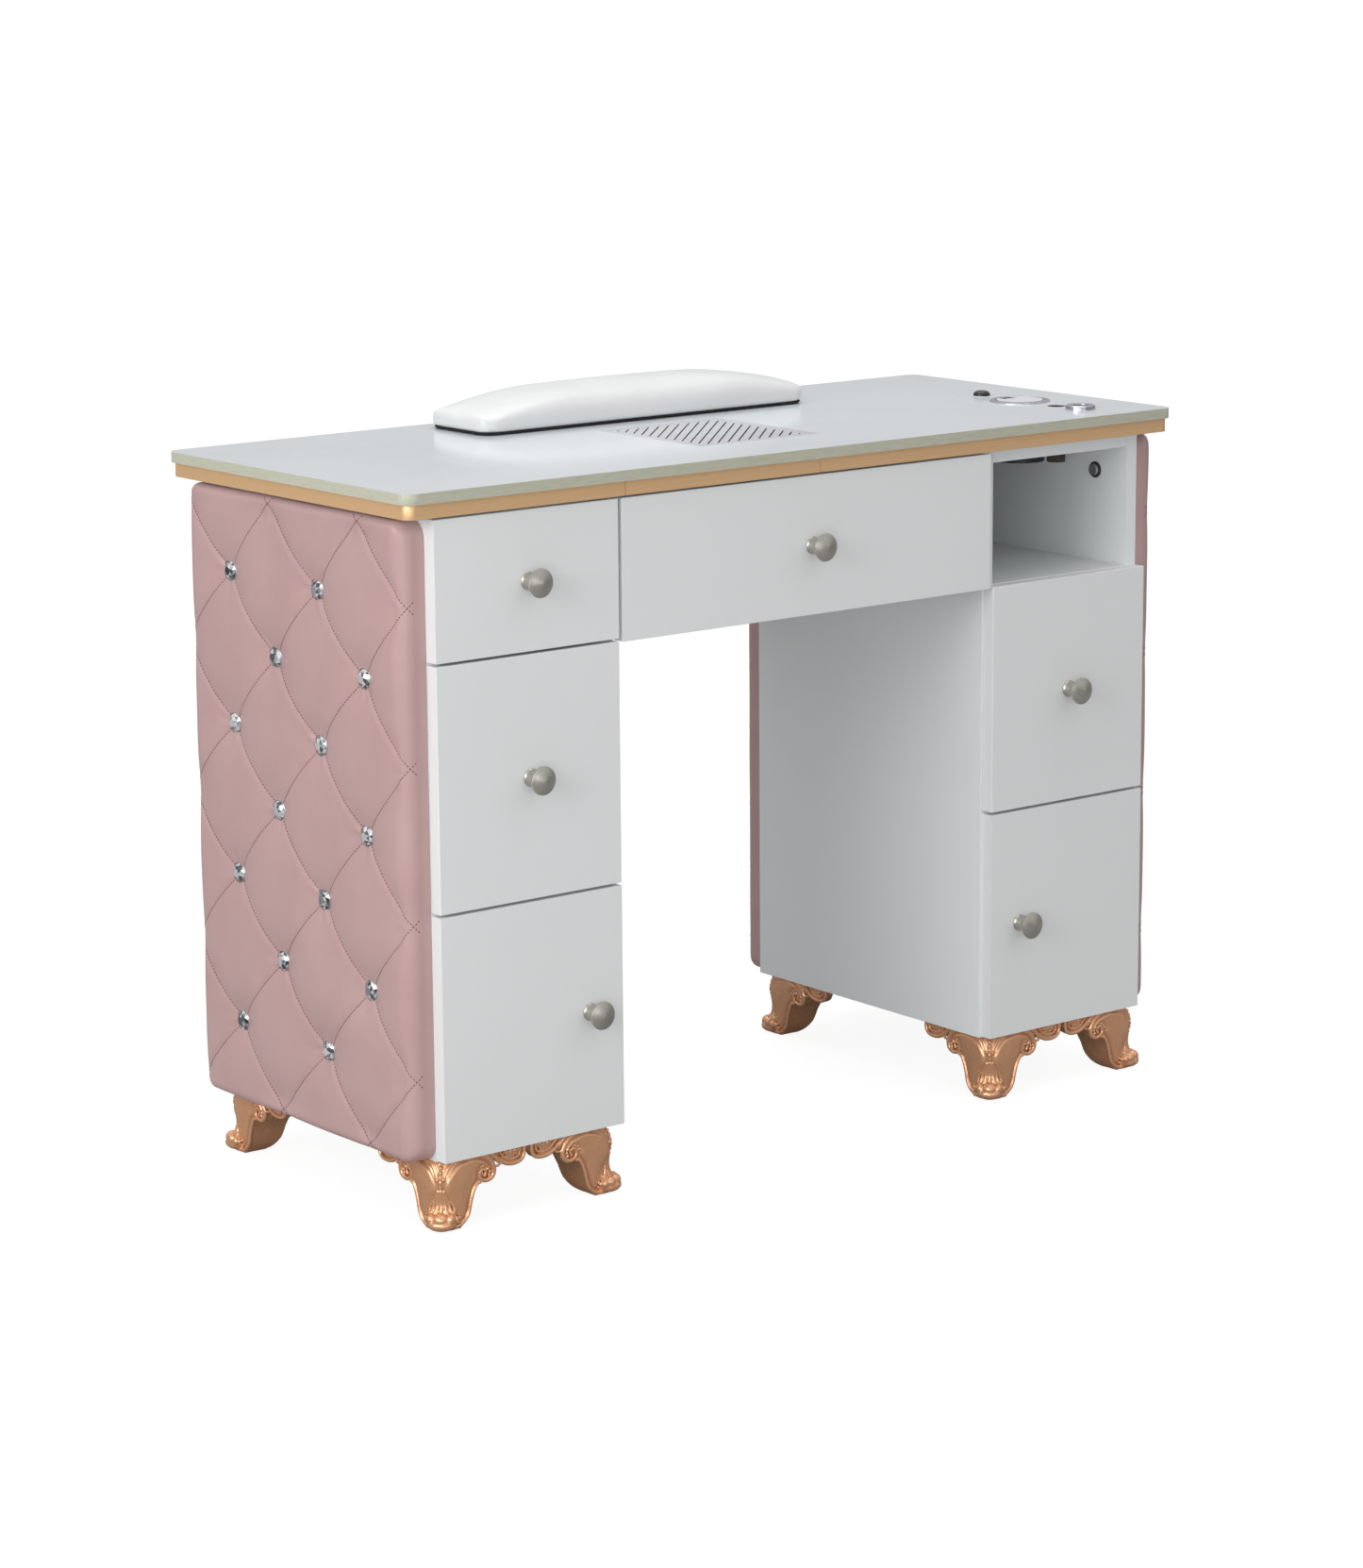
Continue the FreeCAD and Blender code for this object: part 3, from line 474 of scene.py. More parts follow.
# ---- tufted pads
PITCH = 0.0848          # from one tuft to the next, across and up
STEPS = 28              # mesh steps in one pitch
CROWN = 0.006           # the fullest point of a diamond over the CAD pad's face
TUFT_DEPTH = 0.0095     # a tuft's seat below that point, without its creases
VALLEY = 0.0019         # depth of the sewn crease itself
STITCH = 0.0042         # from one stitch to the next
THREAD = 0.00055        # radius of a stitch
STONE = 0.0105          # crystal radius
SHOWN_STONE = 0.0113    # the same with its setting
STONE_HEIGHT = 0.0058
STONE_LIFT = 0.0024     # its foot above the leather in the tuft's seat
PAD_CORNER = 0.02       # rounding of a pad's outline


def rolled_axis(length, roll, node):
    """Mesh places along one axis of a pad whose two edges roll over by a quarter turn.

    node is a tuft's place. Gives position, drop below the face and place in the tuft lattice,
    where the node is 0, all measured along the leather.
    """
    quarter = math.pi * roll / 2
    total = length - 2 * roll + 2 * quarter
    origin = node - roll + quarter
    step = PITCH / STEPS
    first = math.ceil(0.3 - origin / step)
    last = math.floor((total - origin) / step - 0.3)
    along = np.concatenate(([0.0], origin + step * np.arange(first, last + 1), [total]))
    low = np.clip((quarter - along) / roll, 0, math.pi / 2)
    high = np.clip((along - total + quarter) / roll, 0, math.pi / 2)
    position = roll + np.clip(along - quarter, 0, length - 2 * roll)
    position += roll * np.sin(high) - roll * np.sin(low)
    drop = roll * (2 - np.cos(low) - np.cos(high))
    return position, drop, (along - origin) / PITCH


def crease_distance(i, j):
    """Signed distance in metres to the nearest crease of each diagonal family."""
    gap = PITCH * math.sqrt(2)
    return [(a - np.round(a)) * gap for a in ((i + j) / 2, (i - j) / 2)]


class Panel:
    """A tufted pad. Its own axes are u across, v up and w out of the board behind it."""

    def __init__(self, size, node, columns, rows, seed, roll=0.020, roll_v=0.010):
        self.columns, self.rows = columns, rows
        self.rng = np.random.default_rng(seed)
        u, drop_u, i = rolled_axis(size[0], roll, node[0])
        v, drop_v, j = rolled_axis(size[1], roll_v, node[1])
        self.i, self.j = np.meshgrid(i, j, indexing="ij")
        u, v = np.meshgrid(u, v, indexing="ij")
        thick = size[2] + CROWN
        w = thick * (1 - drop_u[:, None] / thick) * (1 - drop_v[None, :] / thick)
        u, v = rounded_plan(u, v, size[0], size[1], PAD_CORNER)
        base = np.stack((u, v, w), axis=-1)
        normal = np.cross(np.gradient(base, axis=0), np.gradient(base, axis=1))
        normal /= np.linalg.norm(normal, axis=-1, keepdims=True) + 1e-12
        # the tufting dies away where the leather is pulled over the board's edges
        fade = 1 / (1 + (drop_u[:, None] / drop_u.max() / 0.12) ** 1.6)
        fade = fade * (1 - drop_v[None, :] / drop_v.max()) ** 0.7
        near = np.minimum(v - v.min(), v.max() - v) / 0.020
        fade = fade * (0.3 + 0.7 * np.clip(near, 0, 1))
        depth = self.relief() * np.clip(fade, 0, 1)
        self.grid = base - normal * depth[..., None]

    def relief(self):
        """How far the leather lies below the fullest point of its diamond."""
        i, j = self.i, self.j
        away = (1 - np.cos(math.pi * i) * np.cos(math.pi * j)) / 2
        crown = (1 - np.exp(-3 * away)) / (1 - math.exp(-3))
        outside = np.maximum.reduce([self.columns[0] - i, i - self.columns[1],
                                     self.rows[0] - j, j - self.rows[1], 0 * i])
        depth = TUFT_DEPTH * (1 - crown) * (1 - 0.45 * np.clip(outside, 0, 1))
        for signed in crease_distance(i, j):
            reach = np.where(signed > 0, 0.009, 0.019)
            depth += VALLEY * (1 - np.clip(np.abs(signed) / reach, 0, 1)) ** 2
        return depth + self.puckers() + self.slack()

    def puckers(self):
        """Small folds that run into each tuft."""
        i, j = self.i, self.j
        a, b = np.round((i + j) / 2), np.round((i - j) / 2)
        di, dj = i - (a + b), j - (a - b)
        radius = np.hypot(di, dj) * PITCH
        turn = np.arctan2(dj, di)
        # a number from 0 to 1 that differs from tuft to tuft
        key = np.abs(np.sin(a * 12.9898 + b * 78.233) * 43758.5453) % 1.0
        total = 0 * i
        for count, size in ((5, 0.00035), (8, 0.0003), (11, 0.0002)):
            total += size * np.cos(count * turn + 2 * math.pi * key * count)
        return total * np.exp(-((radius - 0.015) / 0.009) ** 2)

    def slack(self):
        """The long faint waves of leather that is never pulled quite even."""
        total = 0 * self.i
        for _ in range(10):
            across, up = self.rng.uniform(-5.5, 5.5, 2)
            total += 0.00013 * np.cos(self.i * across + self.j * up + self.rng.uniform(0, 6.28))
        return total

    def shape(self):
        """Closed mesh. Each square is split along the direction of the nearest crease."""
        rows, columns = self.grid.shape[:2]
        points = [tuple(p) for p in self.grid.reshape(-1, 3)]
        index = np.arange(rows * columns).reshape(rows, columns)
        gap_a, gap_b = crease_distance((self.i[:-1, :-1] + self.i[1:, 1:]) / 2,
                                       (self.j[:-1, :-1] + self.j[1:, 1:]) / 2)
        rising = np.abs(gap_b) < np.abs(gap_a)
        faces = []
        for k in range(rows - 1):
            for m in range(columns - 1):
                p, q = int(index[k, m]), int(index[k + 1, m])
                r, s = int(index[k + 1, m + 1]), int(index[k, m + 1])
                faces += [(p, q, r), (p, r, s)] if rising[k, m] else [(p, q, s), (q, r, s)]
        rim = rim_of(index)
        foot = range(len(points), len(points) + len(rim))
        points += [(points[k][0], points[k][1], 0.0) for k in rim]
        return points, faces + band(foot, rim) + [tuple(reversed(foot))]

    def surface(self, i, j):
        """The point on the leather at a place in the lattice, or None off the pad."""
        k = (i - self.i[1, 0]) * STEPS + 1
        m = (j - self.j[0, 1]) * STEPS + 1
        rows, columns = self.grid.shape[:2]
        if not (1 <= k < rows - 2 and 1 <= m < columns - 2):
            return None
        a, b = int(k), int(m)
        s, t = k - a, m - b
        near, far = ((1 - t) * line[b] + t * line[b + 1] for line in self.grid[a:a + 2])
        return Vector((1 - s) * near + s * far)

    def nodes(self):
        """Lattice places of the buttons."""
        return [(i, j) for i in range(self.columns[0], self.columns[1] + 1)
                for j in range(self.rows[0], self.rows[1] + 1) if (i + j) % 2 == 0]

    def stitches(self):
        """Frames (origin, along, out) of the stitches down every crease."""
        step = STITCH / PITCH / math.sqrt(2)
        reach = max(self.i.max(), -self.i.min()) + max(self.j.max(), -self.j.min())
        lines = int(reach) // 2 + 2
        clear = (STONE + 0.0015) / PITCH
        frames = []
        for line in range(1 - lines, lines):
            for lean in (1, -1):
                for k in range(int(-reach / step), int(reach / step)):
                    i = k * step
                    j = (2 * line - i) * lean
                    ahead, beside = (self.surface(i + step * 0.4, j + step * 0.4 * way)
                                     for way in (-lean, lean))
                    here = self.surface(i, j)
                    if here is None or ahead is None or beside is None:
                        continue
                    if any(math.hypot(i - a, j - b) < clear for a, b in self.nodes()):
                        continue
                    along = (ahead - here).normalized()
                    out = along.cross(beside - here).normalized()
                    frames.append((here, along, out if out.z > -0.2 else -out))
        return frames


def stitch_shape(origin, along, out):
    """One short thread loop, half sunk in the leather."""
    across = out.cross(along)
    half = 0.0013
    points = []
    for position, share in ((-half, 0.35), (-half / 2, 1.0), (half / 2, 1.0), (half, 0.35)):
        points += [origin + along * position + (across * c + out * s) * THREAD * share
                   for c, s in circle(6)]
    return points, loft([range(k, k + 6) for k in range(0, 24, 6)])


def stone_shape(place):
    """A cut stone: girdle, two rings of facets and a table, as separate flat facets."""
    rings = ((0.93, 0.0, 16, 0.0), (0.96, 0.30, 16, 0.0), (0.74, 0.70, 8, 0.5), (0.42, 1.0, 8, 0.0))
    points, index = [], []
    for share, height, count, lag in rings:
        radius = SHOWN_STONE * share
        index.append(range(len(points), len(points) + count))
        points += [place @ Vector((radius * c, radius * s, STONE_HEIGHT * height))
                   for c, s in circle(count, lag)]
    low, girdle, middle_ring, table = index
    faces = [tuple(table), tuple(reversed(low))] + band(low, girdle)
    for k in range(8):
        a, b, c = girdle[2 * k], girdle[2 * k + 1], girdle[(2 * k + 2) % 16]
        here, before, after = middle_ring[k], middle_ring[k - 1], middle_ring[(k + 1) % 8]
        faces += [(a, b, here), (b, c, here), (here, c, after),
                  (before, here, table[k]), (table[k], here, table[(k + 1) % 8])]
    return points, faces


def bezel_shape(place):
    """The thin plated cup that holds a stone."""
    profile = ((0.90, -0.003), (1.04, -0.003), (1.07, 0.0012), (1.0, 0.0022), (0.90, 0.0014),
               (0.90, -0.003))
    return turned_shape([(SHOWN_STONE * share, height) for share, height in profile], place, 32)


def make_pads():
    leather = faux_leather("pink_leather", (0.52, 0.342, 0.332), (0.485, 0.312, 0.302), 0.22, 0.34)
    # the thread's own pink, darkened well below the leather as painted shade of the stitch holes
    thread = plastic("pink_thread_painted_shade", (0.17, 0.085, 0.082), 0.6)
    stones, bezels = [], []

    def make_pad(name, panel, place):
        """The leather, its stitches and its share of the stones, put where matrix place says."""
        pad = add_piece(name + "_leather", moved(panel.shape(), place), leather, "table",
                        sharp=60)
        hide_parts(name)
        threads = joined([stitch_shape(*frame) for frame in panel.stitches()])
        add_piece(name + "_stitches", moved(threads, place), thread, "table")
        for i, j in panel.nodes():
            foot = place @ (panel.surface(i, j) + Vector((0, 0, STONE_LIFT)))
            turn = Matrix.Rotation(0.7 * i + 1.9 * j, 4, "Z")
            spot = aim(foot, place.to_3x3() @ Vector(UP)) @ turn
            stones.append(stone_shape(spot))
            bezels.append(bezel_shape(spot))

    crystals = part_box("crystal_buttons")
    second_column = crystals[0].y + STONE + PITCH
    top_row = crystals[1].z - STONE
    for side, sign in SIDES.items():
        low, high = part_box(side + "_side_pad")
        size = (high.y - low.y, high.z - low.z, high.x - low.x)
        panel = Panel(size, (second_column - low.y, top_row - low.z), (-1, 2), (-6, 0), 5)
        back = low.x if sign > 0 else high.x
        make_pad(side + "_side_pad", panel, axes((back, low.y, low.z), (0, 1, 0), UP, (sign, 0, 0)))
    for name, half, rows in (("left_back_pad", 1, (-6, 0)), ("right_back_pad", 1, (-6, 0)),
                             ("apron_pad", 2, (-1, 0))):
        low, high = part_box(name)
        size = (high.x - low.x, high.z - low.z, high.y - low.y)
        panel = Panel(size, (size[0] / 2, top_row - low.z), (-half, half), rows, 7)
        make_pad(name, panel, axes((high.x, low.y, low.z), (-1, 0, 0), UP, (0, 1, 0)))
    gems = add_piece("crystals", joined(stones), cut_crystal(), "table", smooth=False)
    # random per-facet values for the crystals' painted reflections
    facet = gems.data.attributes.new("facet", "FLOAT", "FACE")
    rng = random.Random(11)
    facet.data.foreach_set("value", [rng.random() ** 1.15 for _ in gems.data.polygons])
    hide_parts("crystal_buttons")
    plate_metal = polished("bezel_plate", (0.55, 0.54, 0.53), 0.18)
    add_piece("crystal_bezels", joined(bezels), plate_metal, "table")


# ---- cast corner feet
# A foot's own axes, in millimetres: its corner at the origin on the floor, one wing along +x
# with its face towards -y, and the other the same across the diagonal.
FOOT_HEIGHT = 77.0
FACE = 5.6              # from the corner's planes to the wings' faces
# height, reach of the leg along each wing, rounding of its corner, reach of its back corner
LEG = ((0, 28, 26, 33), (4, 35, 30, 39), (9, 40, 33, 43), (15, 43.5, 34, 46.5), (23, 46, 33, 49),
       (30, 48, 29, 50.5), (37, 50.5, 24, 53), (43, 54, 18, 55), (49, 58, 14, 58),
       (55, 60, 12, 60), (61, 62, 13, 61), (67, 62, 17, 62), (72, 62, 23, 62), (77, 62, 30, 62))
# the smooth cushion on each face, in distance along the wing and height
CUSHION = ((33, 72.3), (23.5, 67), (17.2, 60.3), (13.9, 53.3), (13, 46), (16, 41), (20, 35),
           (23.5, 27), (26.5, 18), (30, 11), (34, 10), (37.5, 15), (40.5, 25), (43, 33),
           (46.5, 42), (50.5, 48), (53.5, 52.5), (53.5, 59), (57.5, 64.5), (63, 65.5),
           (67.5, 61.5), (70.5, 57), (71.5, 60), (66.5, 67), (60, 71.5), (52, 74), (42, 74.5))
# height, half the width of the leaf on the corner, and how far it stands out
LEAF = ((14, 16.5, 9), (21, 15, 8.2), (25, 13.6, 6.6), (29, 12.6, 5.0), (34, 11, 3.6),
        (40, 8.4, 2.4), (44, 5.4, 1.6))
# the wing's plate, in distance along the wing and height
WING = ((28, 77), (28, 34), (46, 34), (51, 41), (56, 47), (62, 45.5), (68, 45), (74, 47),
        (78, 51.5), (79, 58), (78, 64), (79.5, 68), (86, 62), (93, 58.5), (101, 57),
        (110, 57.5), (116, 61), (119.5, 67), (119.5, 77))


def between(table, z, column):
    return float(np.interp(z, [row[0] for row in table], [row[column] for row in table]))


def on_wing(u, z, lift=0.0):
    """A point on the leg's face by its distance along the wing, wrapping round the corner."""
    rounding = between(LEG, z, 2)
    centre = FACE + rounding
    if u >= centre:
        return Vector((u, FACE - lift, z))
    across = max(u - centre, -rounding)
    deep = math.sqrt(rounding ** 2 - across ** 2)
    out = (rounding + lift) / rounding
    return Vector((centre + across * out, centre - deep * out, z))


def on_corner(z, aside, lift=0.0):
    """A point at height z on the rounded corner, a distance aside from the diagonal."""
    rounding = between(LEG, z, 2)
    centre = FACE + rounding
    reach = rounding * math.pi / 4
    turn = math.radians(225) + max(-reach, min(reach, aside)) / rounding
    return Vector((centre + (rounding + lift) * math.cos(turn) + max(0.0, aside - reach),
                   centre + (rounding + lift) * math.sin(turn) + max(0.0, -aside - reach), z))


def on_diagonal(inwards, aside, z):
    """A point by its distance in from the corner along the diagonal, and to one side of it."""
    half = math.sqrt(0.5)
    return Vector(((inwards + aside) * half, (inwards - aside) * half, z))


def smooth_path(points, radii, parts=5):
    """Catmull-Rom points between the given ones, with radii to match."""
    path, sizes = [], []
    last = len(points) - 1
    for k in range(last):
        before, a = points[max(k - 1, 0)], points[k]
        b, after = points[k + 1], points[min(k + 2, last)]
        for m in range(parts):
            t = m / parts
            path.append(0.5 * ((2 * a) + (b - before) * t
                               + (2 * before - 5 * a + 4 * b - after) * t * t
                               + (3 * a - before - 3 * b + after) * t ** 3))
            sizes.append(radii[k] + (radii[k + 1] - radii[k]) * t)
    return path + [points[-1]], sizes + [radii[-1]]


def ball(centre, radii, turn=0.0, rings=8, sides=12):
    """An ellipsoid. turn, in degrees, is about the vertical."""
    if isinstance(radii, (int, float)):
        radii = (radii,) * 3
    profile = [(math.sin(math.pi * k / rings), -math.cos(math.pi * k / rings))
               for k in range(1, rings)]
    place = (Matrix.Translation(centre) @ Matrix.Rotation(math.radians(turn), 4, "Z")
             @ Matrix.Diagonal((*radii, 1)))
    return turned_shape([(0.0, -1.0)] + profile + [(0.0, 1.0)], place, sides)


def tube(points, radii, sides=10):
    """A closed tube of varying radius along a smooth path, with round ends."""
    path, sizes = smooth_path([Vector(p) for p in points], radii)
    rings, skin, side = [], [], None
    for k, (here, size) in enumerate(zip(path, sizes)):
        along = (path[min(k + 1, len(path) - 1)] - path[max(k - 1, 0)]).normalized()
        side = side - along * side.dot(along) if side else along.orthogonal()
        side.normalize()
        other = along.cross(side)
        rings.append(range(len(skin), len(skin) + sides))
        skin += [here + (side * c + other * s) * size for c, s in circle(sides)]
    return [(skin, loft(rings)), ball(path[0], sizes[0]), ball(path[-1], sizes[-1])]


def plate(outline, near, far):
    """A flat plate in the x-z plane between two depths, its outline anticlockwise from -y."""
    count = len(outline)
    points = [Vector((x, depth, z)) for depth in (near, far) for x, z in reversed(outline)]
    return points, loft([range(count), range(count, 2 * count)])


def inside_by(places, outline):
    """How far each place is inside a closed outline; negative outside."""
    start = np.array(outline, dtype=float)
    end = np.roll(start, -1, axis=0)
    along = end - start
    offset = places[:, None, :] - start[None]
    part = np.clip((offset * along).sum(2) / (along ** 2).sum(1), 0, 1)
    gap = np.linalg.norm(offset - part[..., None] * along, axis=2).min(1)
    crosses = (start[:, 1] > places[:, 1, None]) != (end[:, 1] > places[:, 1, None])
    rise = np.where(along[:, 1] == 0, 1e-9, along[:, 1])
    at = start[:, 0] + (places[:, 1, None] - start[:, 1]) / rise * along[:, 0]
    odd = (crosses & (places[:, 0, None] < at)).sum(1) % 2 == 1
    return np.where(odd, gap, -gap)


def rounded_line(outline, parts=4):
    """The outline as a closed smooth curve."""
    points = [Vector((x, z, 0)) for x, z in outline]
    path, _ = smooth_path(points[-2:] + points + points[:2], [0] * (len(points) + 4), parts)
    return [(p.x, p.y) for p in path[2 * parts:-2 * parts - 1]]


def cushion_shape():
    """The smooth swollen face inside the rims, as a slab sunk into the leg."""
    spots = [(u, z) for u in range(10, 75) for z in range(6, 78)]
    deep = inside_by(np.array(spots, dtype=float), rounded_line(CUSHION))
    shoulder = np.clip((deep + 1.0) / 5.0, 0, 1)
    lift = -1.6 + 4.6 * np.sqrt(1 - (1 - shoulder) ** 2) + 0.07 * np.clip(deep, 0, 14)
    points, index = [], {}
    for spot, inside, out in zip(spots, deep, lift):
        if inside > -1.6:
            index[spot] = len(points)
            points += [on_wing(*spot, float(out)), on_wing(*spot, -4.0)]
    faces, edges = [], {}
    for u, z in index:
        corners = ((u, z), (u + 1, z), (u + 1, z + 1), (u, z + 1))
        if all(corner in index for corner in corners):
            ring = [index[corner] for corner in corners]
            faces += [tuple(ring), tuple(k + 1 for k in reversed(ring))]
            edges.update(dict.fromkeys(zip(ring, ring[1:] + ring[:1])))
    faces += [(q, p, p + 1, q + 1) for p, q in edges if (q, p) not in edges]
    return points, faces


def leg_shape():
    """The cabriole leg: a loft of square sections with one rounded corner."""
    points, sections = [], []
    for step in range(27):
        z = FOOT_HEIGHT * step / 26
        reach, rounding, back = (between(LEG, z, column) for column in (1, 2, 3))
        centre = FACE + rounding
        side = max(reach, centre + 0.5)
        bend = arc(centre, centre, rounding, 270, 180, 14)
        ring = [(side, FACE), *bend, (FACE, side), (back, back)]
        sections.append(range(len(points), len(points) + len(ring)))
        points += [Vector((x, y, z)) for x, y in reversed(ring)]
    return points, loft(sections)


def wing_shapes():
    """What lies on one wing: plate, cushion, rims, volute, leaf tip and beaded shell."""
    shapes = [plate(WING, FACE + 2.4, FACE + 11), cushion_shape()]

    def rim(path, radii, lift=0.0):
        shapes.extend(tube([on_wing(u, z, lift) for u, z in path], radii))

    # down the edge of the leg and round the toe
    edge = [on_wing(u, z, 0.3) for u, z in ((59, 46.5), (54.5, 45.6), (51, 41.5), (47.8, 34),
                                            (45.2, 25), (43, 16), (39, 9.5), (32, 4.2))]
    edge += [on_diagonal(22, 14.5, 2.6), on_diagonal(15.5, 8, 2.4), on_diagonal(13, 0, 2.4)]
    shapes.extend(tube(edge, [1.7, 2.1] + [2.2] * 9))
    # the band that arches over the cushion and curls into the volute
    rim([(27, 75.5), (36, 77.5), (52, 78), (64, 74.6), (72.3, 68), (76.4, 60.3), (76.3, 53.2),
         (72.5, 48.5), (66, 47), (60, 49.3), (57.4, 54.3), (59.6, 59), (64, 59.4), (66.4, 56),
         (64.6, 53)], [1.8, 2.6, 3.2, 3.3, 3.3, 3.2, 3.0, 2.8, 2.5, 2.3, 2.1, 1.9, 1.7, 1.6, 2.0])
    for u, z, size in ((70, 52.6, 1.7), (71, 56, 1.5), (68.6, 59.6, 1.4), (56.2, 61, 1.4),
                       (59.2, 63.2, 1.4), (62.6, 63.4, 1.3), (54.4, 57.6, 1.3)):
        shapes.append(ball(on_wing(u, z, 0.8), size))
    # leaf tips between volute and shell
    rim([(66, 79), (74, 75), (79.6, 69.5), (82, 64.5)], [2.2, 2.6, 2.4, 1.5], 0.4)
    rim([(80, 60), (83.5, 60.2), (86, 62)], [1.2, 1.7, 1.4], -0.5)
    # the shell's double rim and its beads
    rim([(75, 78), (80.5, 71), (86.5, 65), (93.5, 60.8), (101, 59.2), (109, 59.6), (115, 62.4),
         (117.8, 68), (118, 77)], [1.6, 2.2, 2.5, 2.6, 2.6, 2.6, 2.5, 2.4, 2.2], -0.6)
    rim([(85, 77), (88, 71.5), (93.5, 66.5), (101, 64.2), (108, 65), (112, 69), (112.6, 77)],
        [1.1, 1.3, 1.5, 1.5, 1.5, 1.4, 1.2], -0.9)
    for row, (reach, drop, count) in enumerate(((9.2, 9.6, 9), (6.2, 6.4, 6), (3.0, 3.2, 3))):
        for k in range(count):
            turn = math.radians(192 + 156 * k / (count - 1))
            place = (101 + reach * math.cos(turn), 77.5 + drop * math.sin(turn))
            shapes.append(ball(on_wing(*place, -0.9 + 0.25 * row), 1.75))
    return shapes


def stem_shapes():
    """Between the cushions: ridges that close in on the neck, and a string of beads."""
    shapes = []
    for side in (-1, 1):
        for spread, size in ((1.0, 1.5), (0.62, 1.2), (0.30, 1.0)):
            path = [on_corner(z, side * spread * aside, -0.2) for z, aside in
                    ((76, 23), (71, 15.5), (65, 10.6), (59, 7.6), (52, 5.3), (45.5, 3.6))]
            shapes += tube(path, [size, size, size, size, size * 0.9, size * 0.7])
        shapes.append(ball(on_corner(57.5, side * 3.4, 1.4), 1.5))
        shapes.append(ball(on_corner(43.6, side * 3.0, 1.2), 1.5))
    for k in range(5):
        shapes.append(ball(on_corner(69.5 - 5.0 * k, 0, 0.9), (2.0, 2.0, 2.6)))
    shapes.append(ball(on_corner(44.6, 0, 1.4), 1.8))
    return shapes


def leaf_shapes():
    """The acanthus leaf that opens from the neck over the toe, with a beaded edge."""
    shapes = [ball(on_diagonal(21, 0, 21), (5, 10, 10), 45)]
    for rib in range(-3, 4):
        part = rib / 3
        path = [on_corner(z, 0.86 * part * between(LEAF, z, 1),
                          between(LEAF, z, 2) * (1 - 0.55 * part ** 2))
                for z in (44, 40, 34, 29, 25, 21, 17)]
        size = 1.0 - 0.08 * abs(rib)
        shapes += tube(path, [size * r for r in (1.1, 1.3, 1.6, 1.9, 2.2, 2.3, 1.8)])
    for side in (-1, 1):
        for k in range(10):
            z = 43.0 - 2.9 * k
            aside = between(LEAF, z, 1) + 0.6
            shapes.append(ball(on_corner(z, side * aside, 0.5 * between(LEAF, z, 2) ** 0.8), 1.45))
    return shapes


def toe_shapes():
    """A scrolled toe: one broad lobe, a scroll on it, and smaller ones on both sides."""
    shapes = [ball(on_diagonal(16.2, 0, 8.2), (16, 16.5, 8.2), 45, 12, 24),
              ball(on_diagonal(9.0, 0, 13.8), (8.2, 8.4, 7.4), 45, 12, 20)]
    for side in (-1, 1):
        shapes += [ball(on_diagonal(12.0, side * 10.6, 13.6), (6.4, 5.0, 6.4), 45, 10, 16),
                   ball(on_diagonal(16.6, side * 15.0, 12.8), 4.4, 0, 10, 14),
                   ball(on_diagonal(15.2, side * 5.2, 20.2), (3.4, 3.6, 3.4), 45),
                   ball(on_diagonal(18.0, side * 12.0, 19.2), (3.0, 3.2, 3.0), 45),
                   ball(on_diagonal(20.5, side * 18.6, 13.5), 2.4)]
    return shapes


def remeshed(name, shapes, voxel, faces_kept):
    """Closed shapes in millimetres melted together, as a smooth mesh in metres."""
    rough = linked(name + "_rough", mesh_of(name, *joined(shapes)))
    modify(rough, "REMESH", mode="VOXEL", voxel_size=voxel)
    modify(rough, "SMOOTH", factor=0.5, iterations=2)
    thin = modify(rough, "DECIMATE")
    quads = len(evaluated(rough).data.polygons)
    thin.ratio = min(1.0, faces_kept / max(2 * quads, 1))
    done = bpy.data.meshes.new_from_object(evaluated(rough))
    bpy.data.objects.remove(rough)
    done.transform(Matrix.Scale(MM, 4))
    done.shade_smooth()
    return done


def make_feet():
    wings = wing_shapes()
    swap = Matrix(((0, 1, 0, 0), (1, 0, 0, 0), (0, 0, 1, 0), (0, 0, 0, 1)))
    shapes = [leg_shape()] + wings + [moved(wing, swap) for wing in wings]
    shapes += stem_shapes() + leaf_shapes() + toe_shapes()
    mesh = remeshed("foot", shapes, 0.8, 44000)
    mesh.materials.clear()
    mesh.materials.append(rose_gold())
    low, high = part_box("corner_feet")
    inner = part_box("left_inner_panel")[1].x - 0.005
    forward = 0.0034            # the front feet sit this much further out
    # the corner each foot stands at, and how far it is turned from one that faces +x and +y
    places = ((low.x, 0, 270), (inner, 90, 180), (-inner, 0, 270), (high.x, 90, 180))
    spots = [(x, y, turn) for x, front, back in places
             for y, turn in ((low.y - forward, front), (high.y, back))]
    for number, (x, y, turn) in enumerate(spots, 1):
        foot = linked("cast_foot_%d" % number, mesh)
        foot.location = (x, y, 0)
        foot.rotation_euler.z = math.radians(turn)
        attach(foot, "table")
        if number == 1:
            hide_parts("corner_feet")


# ---- knobs and fittings, as (radius, height) pairs in millimetres
KNOB = ((0, 0), (9.6, 0), (9.8, 0.3), (9.8, 1.1), (9.2, 1.7), (8.5, 3.5), (7.9, 7), (7.6, 10),
        (7.8, 13), (8.8, 15.8), (10.8, 18.2), (13.2, 20), (15.2, 21.1), (15.7, 21.6), (15.75, 22),
        (15.75, 22.7), (15.55, 23.2), (15.1, 23.5), (0.8, 27.8), (0, 28))
DIAL_DOME = ((0, -30), (3, -30), (3, 0.6), (10.3, 0.6), (10.3, 1.6), (10.1, 2.6), (9.4, 4.0),
             (8.2, 5.2), (6.4, 6.1), (4.2, 6.5), (2.0, 6.6), (0, 6.6))
DIAL_WASHER = ((3.4, 0.02), (11.4, 0.02), (11.4, 0.3), (11.0, 0.5), (3.4, 0.5), (3.4, 0.02))
